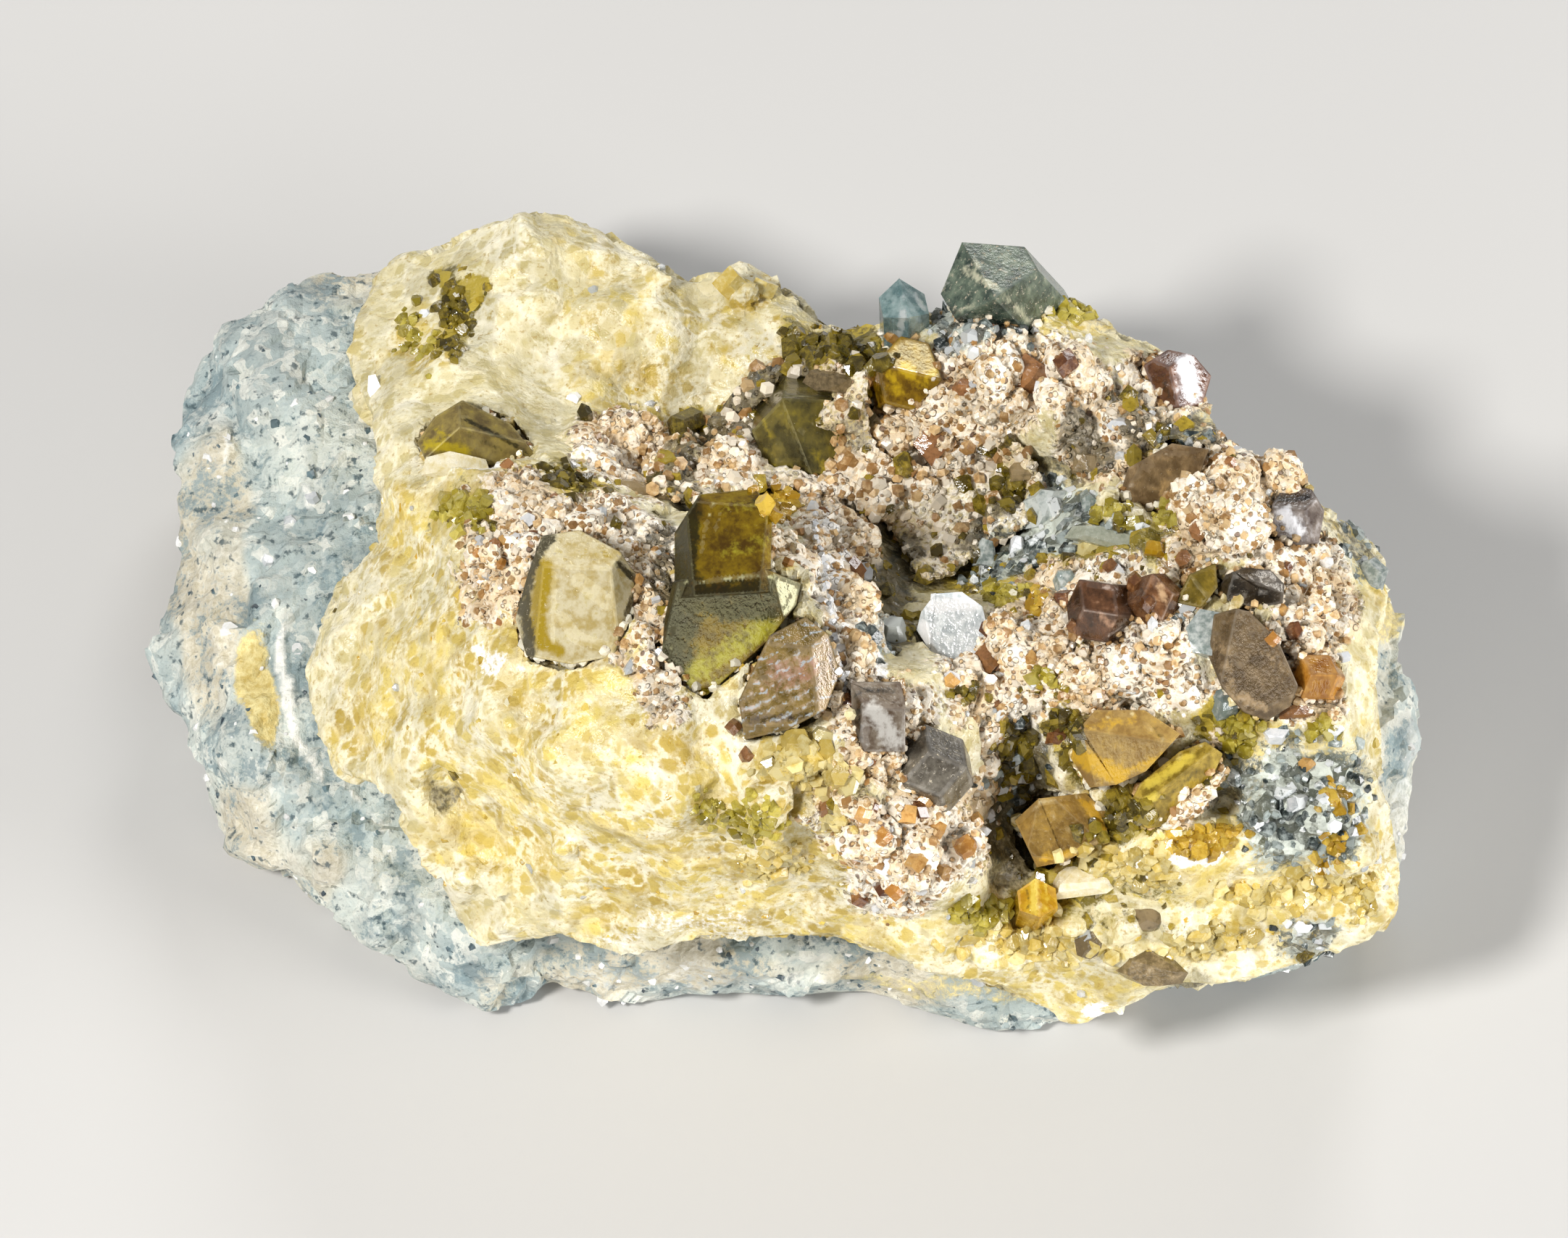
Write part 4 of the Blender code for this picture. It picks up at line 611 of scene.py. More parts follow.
class Relief:
    """How far out the bare solids reach over the display face, and how deep a place lies below what is near,
    which sets painted shade in recesses.
    """

    CELL, SPREAD = 0.5, 2.0
    LOW, COUNT = np.array((-27.0, -20.0)), (108, 80)

    def __init__(self):
        points, faces = [], []
        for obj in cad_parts.values():
            if obj.type == "MESH":
                faces += [[len(points) + i for i in p.vertices] for p in obj.data.polygons]
                points += [v.co.copy() for v in obj.data.vertices]
        tree = BVHTree.FromPolygons(points, faces)
        out, hit = np.zeros((2,) + self.COUNT)
        for i, j in product(*map(range, self.COUNT)):
            across, up = self.LOW + (np.array((i, j)) + 0.5) * self.CELL
            far = tree.ray_cast(place(across, up, ABOVE), INWARD)[3]
            if far is not None:
                out[i, j], hit[i, j] = ABOVE - far / MM, 1.0
        half = int(3.0 * self.SPREAD / self.CELL)
        kernel = np.exp(-0.5 * (np.arange(-half, half + 1) * self.CELL / self.SPREAD) ** 2)
        for axis in (0, 1):
            out = np.apply_along_axis(np.convolve, axis, out, kernel, "same")
            hit = np.apply_along_axis(np.convolve, axis, hit, kernel, "same")
        self.mean = out / np.maximum(hit, 1e-6)

    def recess_shade(self, face):
        """Painted shade, 0 to 1, for points that lie deeper than the mean around them."""
        index = np.floor((face[:, :2] - self.LOW) / self.CELL).astype(int)
        i, j = np.clip(index, 0, np.array(self.COUNT) - 1).T
        return fade(self.mean[i, j] - face[:, 2], *SHADED_DEPTHS)


pieces = {}


def add_piece(name, mesh, material, slot, *replaced):
    mesh.materials.clear()
    mesh.materials.append(material)
    obj = add_object(name, mesh)
    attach(obj, "root")
    if replaced:
        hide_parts(*replaced)
    pieces[name] = obj


def keep_mottle(mesh, points, size, seed):
    """Broad and middling soft noise, how near a vein is, and the tone of each larger grain."""
    tone, _, edge = grains(points + 0.5 * noise3(points, 1.3, seed), size, seed + 3)
    broad = 0.5 + 0.5 * smooth_noise(points, 3.6, seed + 4)
    middle = 0.5 + 0.35 * smooth_noise(points, 1.5, seed + 5) + 0.2 * smooth_noise(points, 0.6, seed + 6)
    keep_values(mesh, "mottle", (broad, middle, edge))
    keep_values(mesh, "grain", tone.T)


def epidote_skin():
    mesh = remeshed("epidote_mass", EPIDOTE_VOXEL)
    mesh = thin_out(mesh, resting(vectors(mesh, "normal")), FACES_KEPT)
    points, n = coords(mesh), vectors(mesh, "normal")
    face, toward = on_face(points), n @ TOWARD
    crust, yellow, olive, white, dark, blue = zone_values(face, points, ZONES).values()
    wall = 1.0 - fade(toward, 0.0, 0.55)            # steep sides, which are coarsely broken
    lift = (1.0 - crust) * (0.16 * smooth_noise(points, 1.9, 1) + 0.10 * smooth_noise(points, 0.9, 2)
                            + 0.05 * facet_height(points, 0.8, 3))
    dome, crevice = packed_lumps(points, 1.35, 5)
    lift += crust * (0.34 * dome + 0.10 * smooth_noise(points, 0.6, 6) + 0.06 * beads(points, 0.5, 4)
                     - 0.2 * crevice)
    # painted shade: the crevices between crust lumps and the pits below their neighbourhood are darkened
    # through the dark zone
    dark = np.maximum(dark, fade(crust, 0.4, 0.8) * 0.7 * crevice)
    dark = np.maximum(dark, 0.75 * relief.recess_shade(face) * (toward > -0.1) * fade(face[:, 0], -4.0, -1.0))
    lift += wall * (0.35 * facet_height(points, 2.6, 7) + 0.22 * facet_height(points, 1.2, 8))
    lift -= 0.25 * dark
    lift += blue * 0.2 * beads(points, 0.7, 9)
    lift += 0.06
    lift[resting(n)] = 0.0
    points += n * lift[:, None]
    points[:, 2] = np.maximum(points[:, 2], 0.05)
    set_coords(mesh, points)
    keep_values(mesh, "zones_a", (crust, yellow, olive))
    keep_values(mesh, "zones_b", (white, dark, blue))
    keep_mottle(mesh, points, 1.25, 50)
    add_piece("epidote", mesh, massive_epidote(), "epidote_mass", "epidote_mass")


def rock_skin():
    mesh = remeshed("host_rock", ROCK_VOXEL)
    points, n = coords(mesh), vectors(mesh, "normal")
    cream, streak, white = zone_values(on_face(points), points, ROCK_ZONES, 0.4).values()
    lift = 0.42 * facet_height(points, 2.8, 21) + 0.18 * facet_height(points, 1.2, 22)
    lift += 0.10 * smooth_noise(points, 0.7, 23) + 0.06 * facet_height(points, 0.5, 24) + 0.08 + 0.14 * white
    lift *= fade(points[:, 2], 0.1, 0.9)            # the base stays flat
    points += n * lift[:, None]
    points[:, 2] = np.maximum(points[:, 2], 0.0)
    set_coords(mesh, points)
    keep_values(mesh, "zones_a", (cream, streak, white))
    keep_mottle(mesh, points, 1.4, 70)
    add_piece("rock", mesh, host_rock_look(), "host_rock", "host_rock")


def druse_skin():
    mesh = remeshed("hollow_crust", DRUSE_VOXEL)
    points, n = coords(mesh), vectors(mesh, "normal")
    face = on_face(points)
    crust, yellow, olive, white, dark, blue = zone_values(face, points, ZONES).values()
    lift = 0.14 * beads(points, 0.5, 31) + 0.12 * facet_height(points, 0.8, 32) + 0.08
    lift *= fade(n @ TOWARD, -0.2, 0.2)
    points += n * lift[:, None]
    set_coords(mesh, points)
    # painted shade: the whole hollow is darkened, and more the deeper a place lies
    deep = 1.0 - fade(face[:, 2], *np.percentile(face[:, 2], (15, 75)))
    keep_values(mesh, "zones_a", (np.maximum(crust, 0.55), yellow, olive))
    keep_values(mesh, "zones_b", (white, np.maximum(np.maximum(dark, 0.42), 0.95 * deep), 0.8 * blue))
    keep_mottle(mesh, points, 0.9, 90)
    add_piece("druse", mesh, bpy.data.materials["massive_epidote"], "hollow_crust", "hollow_crust")


# ---- large crystals ----

# name: deep, middle and bright colour, clearness, roughness, direction of its lines (across, up), dust,
# size of its clouds, spacing of its ruled lines
CRYSTALS = {
    "ridge_prism": ((82, 54, 0), (150, 120, 12), (192, 184, 56), 0.35, 0.06, (0.87, 0.5), 0.1, 1.1),
    "striated_crystal": ((92, 74, 20), (146, 122, 66), (162, 120, 100), 0.3, 0.1, (1, 0.45), 0.12, 0.8, 0.4),
    "hexagonal_crystal": ((190, 168, 104), (230, 220, 186), (176, 148, 36), 0.3, 0.12, (0.1, 1), 0.36, 0.6),
    "ridge_end_crystal": ((116, 98, 60), (170, 150, 84), (210, 186, 40), 0.35, 0.12, (1, -0.4), 0.12, 0.8),
    "back_prism": ((70, 64, 36), (118, 106, 50), (176, 156, 40), 0.3, 0.14, (0.1, 1), 0.12, 1),
    "amber_crystal": ((112, 78, 6), (174, 134, 18), (232, 192, 30), 0.4, 0.1, (0.6, 1), 0.1, 0.6),
    "clear_tip": ((110, 144, 146), (180, 204, 204), (240, 248, 248), 0.6, 0.08, (0.1, 1), 0.08, 0.6),
    "green_peak": ((36, 52, 46), (96, 110, 94), (184, 184, 158), 0.2, 0.2, (0.3, 1), 0.5, 0.6),
    # corner_garnet: its white bright colour is a painted highlight on a facet
    "corner_garnet": ((80, 46, 28), (124, 82, 54), (240, 240, 244), 0.2, 0.1, (0, 1), 0.1, 0.6),
    "slab_crystal": ((96, 76, 50), (144, 120, 86), (186, 152, 100), 0.3, 0.2, (0.8, 0.7), 0.24, 0.7),
    # rim_garnet: its white bright colour is a painted highlight on a facet
    "rim_garnet": ((66, 50, 40), (122, 110, 100), (246, 248, 254), 0.15, 0.08, (1, 0), 0.1, 0.7),
    "dark_tablet": ((40, 32, 22), (74, 62, 46), (150, 130, 100), 0.3, 0.08, (1, 0.3), 0.2, 0.5),
    "smoky_tablet": ((94, 74, 46), (150, 126, 90), (204, 174, 130), 0.55, 0.06, (0.8, 0.6), 0.14, 1),
    # silver_plate: its near-white colours are a painted reflection on a facet
    "silver_plate": ((188, 196, 198), (240, 244, 244), (255, 255, 255), 0.1, 0.08, (0.4, 1), 0.1, 0.4),
    "grey_garnet": ((84, 66, 48), (134, 122, 106), (196, 192, 184), 0.15, 0.14, (0, 1), 0.14, 0.8),
    "hex_garnet": ((66, 60, 50), (116, 110, 98), (176, 170, 160), 0.15, 0.18, (0, 1), 0.45, 0.6),
    "red_garnet": ((56, 34, 18), (98, 64, 40), (180, 140, 110), 0.25, 0.08, (0, 1), 0.06, 0.6),
    "brown_garnet": ((84, 52, 28), (132, 90, 56), (200, 164, 124), 0.25, 0.1, (0, 1), 0.08, 0.5),
    "orange_garnet": ((160, 98, 24), (208, 148, 58), (238, 190, 100), 0.35, 0.1, (0, 1), 0.08, 0.4),
    "leaf_crystal": ((98, 82, 18), (144, 120, 36), (196, 166, 64), 0.35, 0.12, (0.6, 1), 0.1, 0.5),
    "amber_tablet": ((150, 116, 62), (196, 162, 92), (238, 188, 46), 0.4, 0.1, (1, 0.2), 0.14, 0.9),
    "olive_blade": ((126, 102, 20), (194, 164, 62), (238, 212, 84), 0.4, 0.1, (0.75, 0.65), 0.12, 0.6),
    "brown_tablet": ((138, 104, 46), (190, 152, 76), (240, 188, 60), 0.4, 0.1, (1, 0.5), 0.16, 0.8),
    "golden_prism": ((196, 142, 16), (226, 180, 40), (252, 222, 96), 0.45, 0.1, (0.05, 1), 0.04, 0.4),
}


def in_order(mesh, *values):
    """The triangle mesh and its vertices' values sorted by place, since bmesh's order differs between runs."""
    corners, triangles, name = vectors(mesh, "co"), triangles_of(mesh), mesh.name
    order = np.lexsort(corners.T)
    triangles = np.argsort(order)[triangles]
    first = triangles.argmin(axis=1)
    triangles = np.take_along_axis(triangles, (first[:, None] + np.arange(3)) % 3, axis=1)
    bpy.data.meshes.remove(mesh)
    mesh = bpy.data.meshes.new(name)
    mesh.from_pydata(corners[order].tolist(), [], triangles[np.lexsort(triangles.T)].tolist())
    return (mesh,) + tuple(value[order] for value in values)


def grown(node):
    """The node's faceted solid, grown a little on every face, its vertices' share of bevelled edge and the
    tone of their facet."""
    bm = bmesh.new()
    bm.from_mesh(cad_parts[node].data)
    bmesh.ops.remove_doubles(bm, verts=bm.verts, dist=2e-6)
    bmesh.ops.dissolve_limit(bm, angle_limit=math.radians(1.5), verts=bm.verts, edges=bm.edges)
    bm.normal_update()
    moves = []
    for vert in bm.verts:
        kinds = []
        for f in vert.link_faces:
            if all(f.normal.dot(k) < 0.995 for k in kinds):
                kinds.append(f.normal.copy())
        step, *_ = np.linalg.lstsq(np.array(kinds, float), np.full(len(kinds), GROWTH * MM), rcond=0.05)
        most = 2.5 * GROWTH * MM
        if np.linalg.norm(step) > most:
            step *= most / np.linalg.norm(step)
        moves.append((vert, Vector(step)))
    for vert, step in moves:
        vert.co += step
    facet = bm.faces.layers.int.new("facet")
    for index, face in enumerate(bm.faces):
        face.material_index, face[facet] = 0, index
    tones = np.random.default_rng(len(bm.faces)).random(len(bm.faces))
    tones[max(bm.faces, key=lambda f: f.calc_area())[facet]] = 0.5
    rims = bmesh.ops.bevel(bm, geom=bm.edges[:], offset=BEVEL * MM, segments=1, affect="EDGES",
                           clamp_overlap=True)["faces"]
    for face in rims:
        face.material_index = 1
    finest = FINER if node in FINE_CRYSTALS else FINEST
    for _ in range(7):
        bmesh.ops.triangulate(bm, faces=[f for f in bm.faces if len(f.verts) > 3])
        long = [e for e in bm.edges if e.calc_length() > finest * MM]
        if not long:
            break
        bmesh.ops.subdivide_edges(bm, edges=long, cuts=1)
    bmesh.ops.triangulate(bm, faces=[f for f in bm.faces if len(f.verts) > 3])
    bmesh.ops.recalc_face_normals(bm, faces=bm.faces)
    mesh = finished(bm, bpy.data.meshes.new(node))
    edge = np.zeros(len(mesh.vertices))
    tone = np.full(len(mesh.vertices), 0.5)
    for face, index in zip(mesh.polygons, mesh.attributes["facet"].data):
        if face.material_index == 1:
            edge[list(face.vertices)] = 1.0
            face.material_index = 0
        else:
            tone[list(face.vertices)] = tones[index.value]
    return in_order(mesh, edge, tone)


# bright bands, painted highlights where the colour is white; dark sides, painted shade; pale lines: each
# (across, up, across, up, width, strength)
MARKS = {
    "ridge_prism": """
    -3.86 -2.27 -.82 -.45 .74 .65, -3.43 -3.12 -1.45 -1.99 .51 .5, -1.45 -.45 .31 .4 .96 .4,
    -2.3 4.31 -1.16 4.48 .34 .4, -2.3 2.61 -.6 3.12 .51 .35, -.6 4.17 .54 4.6 .34 .8;
    -3.72 4.54 -3.89 1.48 .91 1, -4.23 1.31 -4.4 -2.92 1.05 1, -2.87 .96 .4 1.31 .96 .8,
    -3.6 .9 -3.8 -1.1 .9 .7, -2.4 .3 0 .5 .9 .9, -4 .48 -2.01 .74 1.02 .5, -1.16 4.6 .82 5.11 .28 .7;
    -4.03 1.33 -.91 1.73 .09 1, -.91 1.73 .65 1.39 .09 1, -3.23 2.47 -3.09 3.46 .07 .8,
    -3.09 3.46 -2.75 4.48 .07 .8, -2.72 3.32 -2.41 4.31 .06 .6, .48 1.31 -.54 -.57 .07 .5,
    -4.28 .06 -4.43 -1.5 .07 .6""",
    "striated_crystal": """
    -.3 -1.9 1 -1.9 .7 .55, -.6 -2.5 .82 -2.38 .57 .4;
    -1.45 -3.92 .82 -3.77 .4 .7, 1.67 -.79 1.96 -2.21 .28 .6, -.94 -.74 .26 -.4 .34 .5;
    -1.65 -3.12 .54 -2.04 .09 1, -1.56 -3.58 .82 -2.44 .09 1, -1.33 -2.61 .65 -1.59 .09 1,
    -1.05 -2.16 1.05 -1.14 .09 .9, -1.28 -3.97 .88 -2.89 .09 .8, -.6 -4.09 1.33 -3.12 .09 .8,
    .4 -1.36 1.39 -.91 .09 .7""",
    "hexagonal_crystal": """
    -9.34 2.04 -9.62 -.51 .62 1, -9.45 -.94 -8.77 -1.25 .4 .9, -8.4 2.61 -6.84 2.5 .45 .5,
    -9.68 -.28 -9.34 -.79 .34 1;
    -9.14 3.18 -9.85 2.27 .48 1, -9.85 2.27 -10.19 .62 .51 1, -10.19 .62 -9.88 -1.28 .43 1,
    -6.47 2.13 -5.7 1.48 .23 1, -5.7 1.48 -6.1 .2 .2 1, -6.1 .2 -6.5 -1.36 .23 .9;
    -9.05 2.38 -7.35 2.7 .09 1, -7.35 2.7 -6.33 1.87 .09 1, -8.94 1.76 -9 -.94 .11 .7,
    -8.26 -.65 -6.7 -1.14 .28 .6, -7.97 1.48 -6.84 .62 .45 .5, -8.68 .06 -7.97 -.79 .34 .5""",
    "ridge_end_crystal": """
    -13.93 6.87 -12.51 6.58 .4 .9, -13.65 7.43 -13.14 7.15 .23 .6;
    -12.51 7.86 -10.02 6.53 .17 .9, -12.29 7.15 -11.1 6.64 .23 .5;
    -12.8 7.85 -12.4 7.95 .06 .4, -10.81 7.15 -10.02 6.53 .06 .6""",
    "back_prism": """
    -.6 6.02 .11 5.31 .4 .7, 1.25 6.58 1.67 5.73 .28 .6, -.88 7.86 -.43 7.15 .23 .5;
    -.17 7.43 .82 6.02 .62 .7, 1.96 8 2.19 6.58 .28 .6;
    -.4 8.77 1.67 8.71 .06 .6, .68 7.43 .88 7.15 .11 .8""",
    "amber_crystal": """
    4.74 9.85 4.97 9.65 .45 1, 4.09 9.56 4.51 8.85 .34 .7, 5.36 9.14 5.93 9.7 .34 .6;
    3.52 9.99 3.8 8.85 .28 .6, 5.93 10.56 6.27 9.42 .23 .6;
    """,
    "green_peak": """
    7.07 13.68 8.26 13.05 .23 .9, 6.21 11.69 7.35 12.26 .17 .6, 8.48 12.83 9.62 11.69 .23 .6,
    7.49 14.1 7.63 13.9 .23 .6;
    6.21 12.26 7.07 11.69 .45 .7, 8.77 13.39 9.05 12.83 .28 .4;
    7.6 14.19 6.21 12.97 .06 .6, 7.6 14.19 9.05 13.45 .06 .7, 5.79 11.12 6.21 12.83 .06 .6""",
    "clear_tip": """
    4.65 11.98 4.51 11.07 .2 1, 5.14 12.77 5.53 12.12 .17 .7;
    4.09 11.41 4.23 10.84 .23 .5;
    5.02 13 4.4 12.12 .06 .8, 5.02 13 5.76 12.26 .06 .8""",
    # silver_plate: its bright bands are a painted reflection
    "silver_plate": """
    5.79 .48 7.35 .57 .45 1, 5.42 -.23 5.79 -1.5 .34 1, 6.21 -1.93 7.35 -1.79 .26 1;
    6.73 -.45 7.24 -.91 .28 .12, 6.36 -.79 6.67 -1.16 .23 .1;
    5.79 .79 7.35 .79 .09 1, 5.31 .06 5.79 .77 .09 1, 7.86 .06 7.41 .79 .09 1, 5.31 .06 5.42 -1.36 .09 1,
    6.16 .2 5.93 -1.22 .09 1""",
    "smoky_tablet": """
    17 -.94 17.57 -3.06 .4 .5, 17.85 -3.06 18.7 -3.49 .34 .8, 18.84 -1.36 19.41 -1.93 .28 .4;
    18.42 .06 19.84 -.51 .45 .35, 16.86 -2.21 17.28 -3.35 .23 .5;
    17.57 -1.36 17.91 -2.36 .06 .7, 17.28 .06 16.77 -.79 .06 .5, 18.13 -.57 19.27 -.45 .06 .5""",
    "dark_tablet": """
    17.57 1.48 18.13 1.62 .17 .3;
    17.28 1.48 18.98 .77 .57 .6;
    17.17 1.7 19.32 1.48 .06 .9, 17.57 .74 18.02 1.02 .09 .9, 18.36 .91 18.87 1.14 .09 .9,
    18.7 1.76 18.98 1.48 .06 .8""",
    "amber_tablet": """
    11.44 -5.33 13.02 -6.07 .62 1, 11.89 -4.2 13.59 -3.92 .34 .4, 13.59 -5.9 14.73 -5.33 .34 .6;
    14.44 -4.2 15.07 -5.05 .23 .4;
    12.03 -4.2 12.46 -5.62 .07 .7, 11.21 -5.05 11.89 -3.92 .07 .7, 11.89 -3.92 13.59 -3.69 .07 .8,
    13.59 -3.69 15.18 -5.05 .06 .7, 12.74 -6.33 14.73 -5.96 .06 .6""",
    "olive_blade": """
    14.16 -6.47 15.86 -5.33 .34 .9, 13.59 -7.32 14.44 -6.9 .28 1;
    14.73 -7.04 16.15 -5.9 .23 .5;
    13.2 -7.38 14.02 -6.13 .06 .6, 14.02 -6.13 16.29 -4.94 .07 .8""",
    "brown_tablet": """
    11.89 -7.32 12.4 -8.17 .34 1, 10.19 -9.31 11.32 -9.08 .26 .9, 11.55 -7.04 11.89 -7.32 .2 .5;
    9.28 -7.89 9.76 -9.31 .17 .4;
    9.14 -7.89 10.02 -7.12 .07 .9, 10.02 -7.12 11.8 -6.92 .07 .9, 11.8 -6.92 12.57 -7.72 .07 .8,
    12.51 -8.43 10.93 -9.34 .07 .8, 10.47 -7.6 10.53 -7.72 .09 .8, 11.04 -8.17 11.1 -8.26 .09 .8""",
    "golden_prism": """
    9.76 -9.88 9.76 -11.44 .26 1, 10.19 -10.02 10.24 -11.29 .14 .6;
    9.48 -10.44 9.51 -11.52 .11 .7;
    9.96 -9.88 9.96 -11.52 .06 .8, 10.41 -10.02 10.41 -11.44 .06 .6""",
    # corner_garnet: its bright band is a painted highlight
    "corner_garnet": """
    15.75 9.99 16 8.85 .62 1;
    14.73 9.99 15.07 8.71 .28 .5;
    15.58 10.22 15.47 8.63 .07 .9""",
    # rim_garnet: its bright band is a painted highlight
    "rim_garnet": """
    19.55 4.14 20.01 3.41 .45 1;
    19.27 4.71 20.46 4.77 .26 1;
    19.27 4.37 20.4 4.37 .07 1""",
    "grey_garnet": """
    3.43 -3.49 4.28 -4.77 .68 .9;
    2.87 -2.78 2.87 -5.05 .26 .7, 3.09 -2.78 4.4 -2.78 .26 .6;
    3.21 -3.23 4.51 -3.23 .06 .6, 3.21 -3.23 3.21 -5.05 .06 .5""",
    "red_garnet": """
    12.34 .17 12.74 -.23 .26 .7;
    11.75 .62 12.03 -.51 .34 .5;
    11.89 1.31 13.02 1.14 .06 .6, 12.46 -.79 13.31 -.23 .07 .8""",
    "brown_garnet": """
    14.61 1.31 14.9 .62 .26 .8;
    13.93 1.19 14.16 .34 .23 .5;
    14.44 1.48 14.39 .2 .06 .7""",
    "slab_crystal": """
    14.73 4.88 15.07 5.73 .26 .5;
    13.59 4.6 14.73 4.6 .23 .5;
    13.2 4.88 14.73 6.44 .07 .7, 14.73 6.44 16.29 6.53 .07 .6""",
}


def large_crystals():
    for node, look in CRYSTALS.items():
        material = crystal_look(node + "_look", *look)
        mesh, edge, tone = grown(node)
        face = on_face(coords(mesh))
        # bands carry painted highlights where white, sides carry painted shade
        bands, sides, pale = (strokes(face, rows(part)) for part in MARKS.get(node, ";;").split(";"))
        keep_values(mesh, "marks", (bands, sides, np.maximum(0.3 * edge, 0.9 * pale)))
        keep_values(mesh, "grain", (tone,))
        add_piece(node + "_glass", mesh, material, node, node)


# ---- small crystals, fused to what they grow from ----

def shape_from(planes):
    """Corners and faces of the solid within some planes (normal, distance), about one unit in size."""
    bm = bmesh.new()
    bmesh.ops.create_cube(bm, size=8.0)
    for normal, distance in planes:
        normal = Vector(normal).normalized()
        cut = bmesh.ops.bisect_plane(bm, geom=bm.verts[:] + bm.edges[:] + bm.faces[:], dist=1e-4,
                                     plane_co=normal * distance, plane_no=normal, clear_outer=True)
        edges = [g for g in cut["geom_cut"] if isinstance(g, bmesh.types.BMEdge)]
        bmesh.ops.holes_fill(bm, edges=edges, sides=0)
    bmesh.ops.remove_doubles(bm, verts=bm.verts, dist=1e-3)
    bmesh.ops.recalc_face_normals(bm, faces=bm.faces)
    corners = np.array([tuple(v.co) for v in bm.verts])
    faces = [[v.index for v in f.verts] for f in bm.faces]
    bm.free()
    return corners, faces


def ring_planes(count, reach, turn=0.0, lean=0.0):
    angles = [2.0 * math.pi * (k + turn) / count for k in range(count)]
    return [((math.cos(a), math.sin(a), lean), reach) for a in angles]


def broken_shape(seed):
    """An irregular grain with about a dozen flat faces."""
    draw = np.random.default_rng(seed)
    planes = [FOOT]
    for k in range(11):
        z = 1.0 - 1.7 * (k + 0.5) / 11.0
        a = 2.4 * k + draw.normal() * 0.3
        r = math.sqrt(1.0 - z * z)
        planes.append(((r * math.cos(a), r * math.sin(a), z), draw.uniform(0.72, 1.0)))
    return shape_from(planes)


FOOT = ((0, 0, -1), 1.0)
GARNET = shape_from([(n, 1.0) for n in product((-1, 0, 1), repeat=3) if sum(abs(k) for k in n) == 2])
BROKEN = [broken_shape(seed) for seed in range(5)]
PRISM = shape_from(ring_planes(6, 0.7) + [((0.55, 0.1, 1), 1.35), ((-0.7, 0.1, 1), 1.2), FOOT])
POINT = shape_from(ring_planes(6, 0.6) + ring_planes(6, 1.05, 0.0, 0.9) + [((0, 0, -1), 0.8)])
TABLET = shape_from(ring_planes(6, 0.92, 0.5) + ring_planes(6, 0.93, 0.0, 1.6)
                    + [((0.06, 0.1, 1), 0.5), FOOT])
CRYSTAL = shape_from([
    ((1, 0.2, 0.1), 0.9), ((-1, 0.1, 0.2), 0.9), ((0.2, 1, 0.1), 0.9), ((-0.1, -1, 0.1), 0.9),
    ((0.7, 0.1, 0.8), 0.95), ((-0.6, 0.5, 0.9), 0.95), ((-0.1, -0.8, 0.8), 0.95),
    ((0.1, 0.1, 1), 0.85), FOOT, ((0.8, -0.8, 0.3), 1.05), ((-0.8, 0.9, 0), 1.05)])
SHAPES = {"garnet": GARNET, "prism": PRISM, "tablet": TABLET, "crystal": CRYSTAL,
          "broken1": BROKEN[1], "broken2": BROKEN[2], "broken3": BROKEN[3]}


class Crop:
    """Many small crystals that become one mesh."""

    def __init__(self):
        self.points, self.faces, self.tones, self.count = [], [], [], 0

    def add(self, shape, turned, middle, tone):
        """turned is 3 by 3 and takes the shape to its size and turn; middle is its place in the world."""
        corners, faces = shape
        self.points.append(corners @ turned.T + middle)
        self.faces += [[self.count + i for i in face] for face in faces]
        self.tones.append(np.repeat([tone], len(corners), axis=0))
        self.count += len(corners)

    def finish(self, name, material, slot):
        mesh = bpy.data.meshes.new(name)
        points = np.concatenate(self.points)
        points[:, 2] = np.maximum(points[:, 2], 0.02)
        mesh.from_pydata((points * MM).tolist(), [], self.faces)
        keep_values(mesh, "grain", np.concatenate(self.tones).T)
        add_piece(name, mesh, material, slot)


class Ground:
    """The surface of a dense skin, to seat small crystals on."""

    def __init__(self, mesh, zones):
        self.corners = coords(mesh)[triangles_of(mesh)]
        a, b, c = self.corners.transpose(1, 0, 2)
        cross = np.cross(b - a, c - a)
        size = np.linalg.norm(cross, axis=1)
        self.area = size / 2.0
        self.normal = cross / np.maximum(size, 1e-9)[:, None]
        self.middle = self.corners.mean(axis=1)
        self.open = ~resting(self.normal) & (self.middle[:, 2] > 0.4)
        self.zone = zone_values(on_face(self.middle), self.middle, zones)

    def seats(self, count, weight, spacing, seed):
        """Points and normals spread over the surface by weight, no closer than the spacing."""
        draw = np.random.default_rng(seed)
        share = self.area * self.open * np.clip(weight, 0.0, None)
        chosen = draw.choice(len(share), size=count, p=share / share.sum())
        a, b = draw.random(count), draw.random(count)
        flip = a + b > 1.0
        a[flip], b[flip] = 1.0 - a[flip], 1.0 - b[flip]
        c = self.corners[chosen]
        spots = c[:, 0] + a[:, None] * (c[:, 1] - c[:, 0]) + b[:, None] * (c[:, 2] - c[:, 0])
        taken, keep = {}, []
        for i, spot in enumerate(spots):
            cell = np.floor(spot / spacing).astype(int)
            close = any(np.sum((spots[j] - spot) ** 2) < spacing ** 2
                        for step in product((-1, 0, 1), repeat=3) for j in taken.get(tuple(cell + step), ()))
            if not close:
                taken.setdefault(tuple(cell), []).append(i)
                keep.append(i)
        return spots[keep], self.normal[chosen[keep]]


def trees_of(names):
    depsgraph = bpy.context.evaluated_depsgraph_get()
    return [BVHTree.FromObject(pieces[name], depsgraph) for name in names]


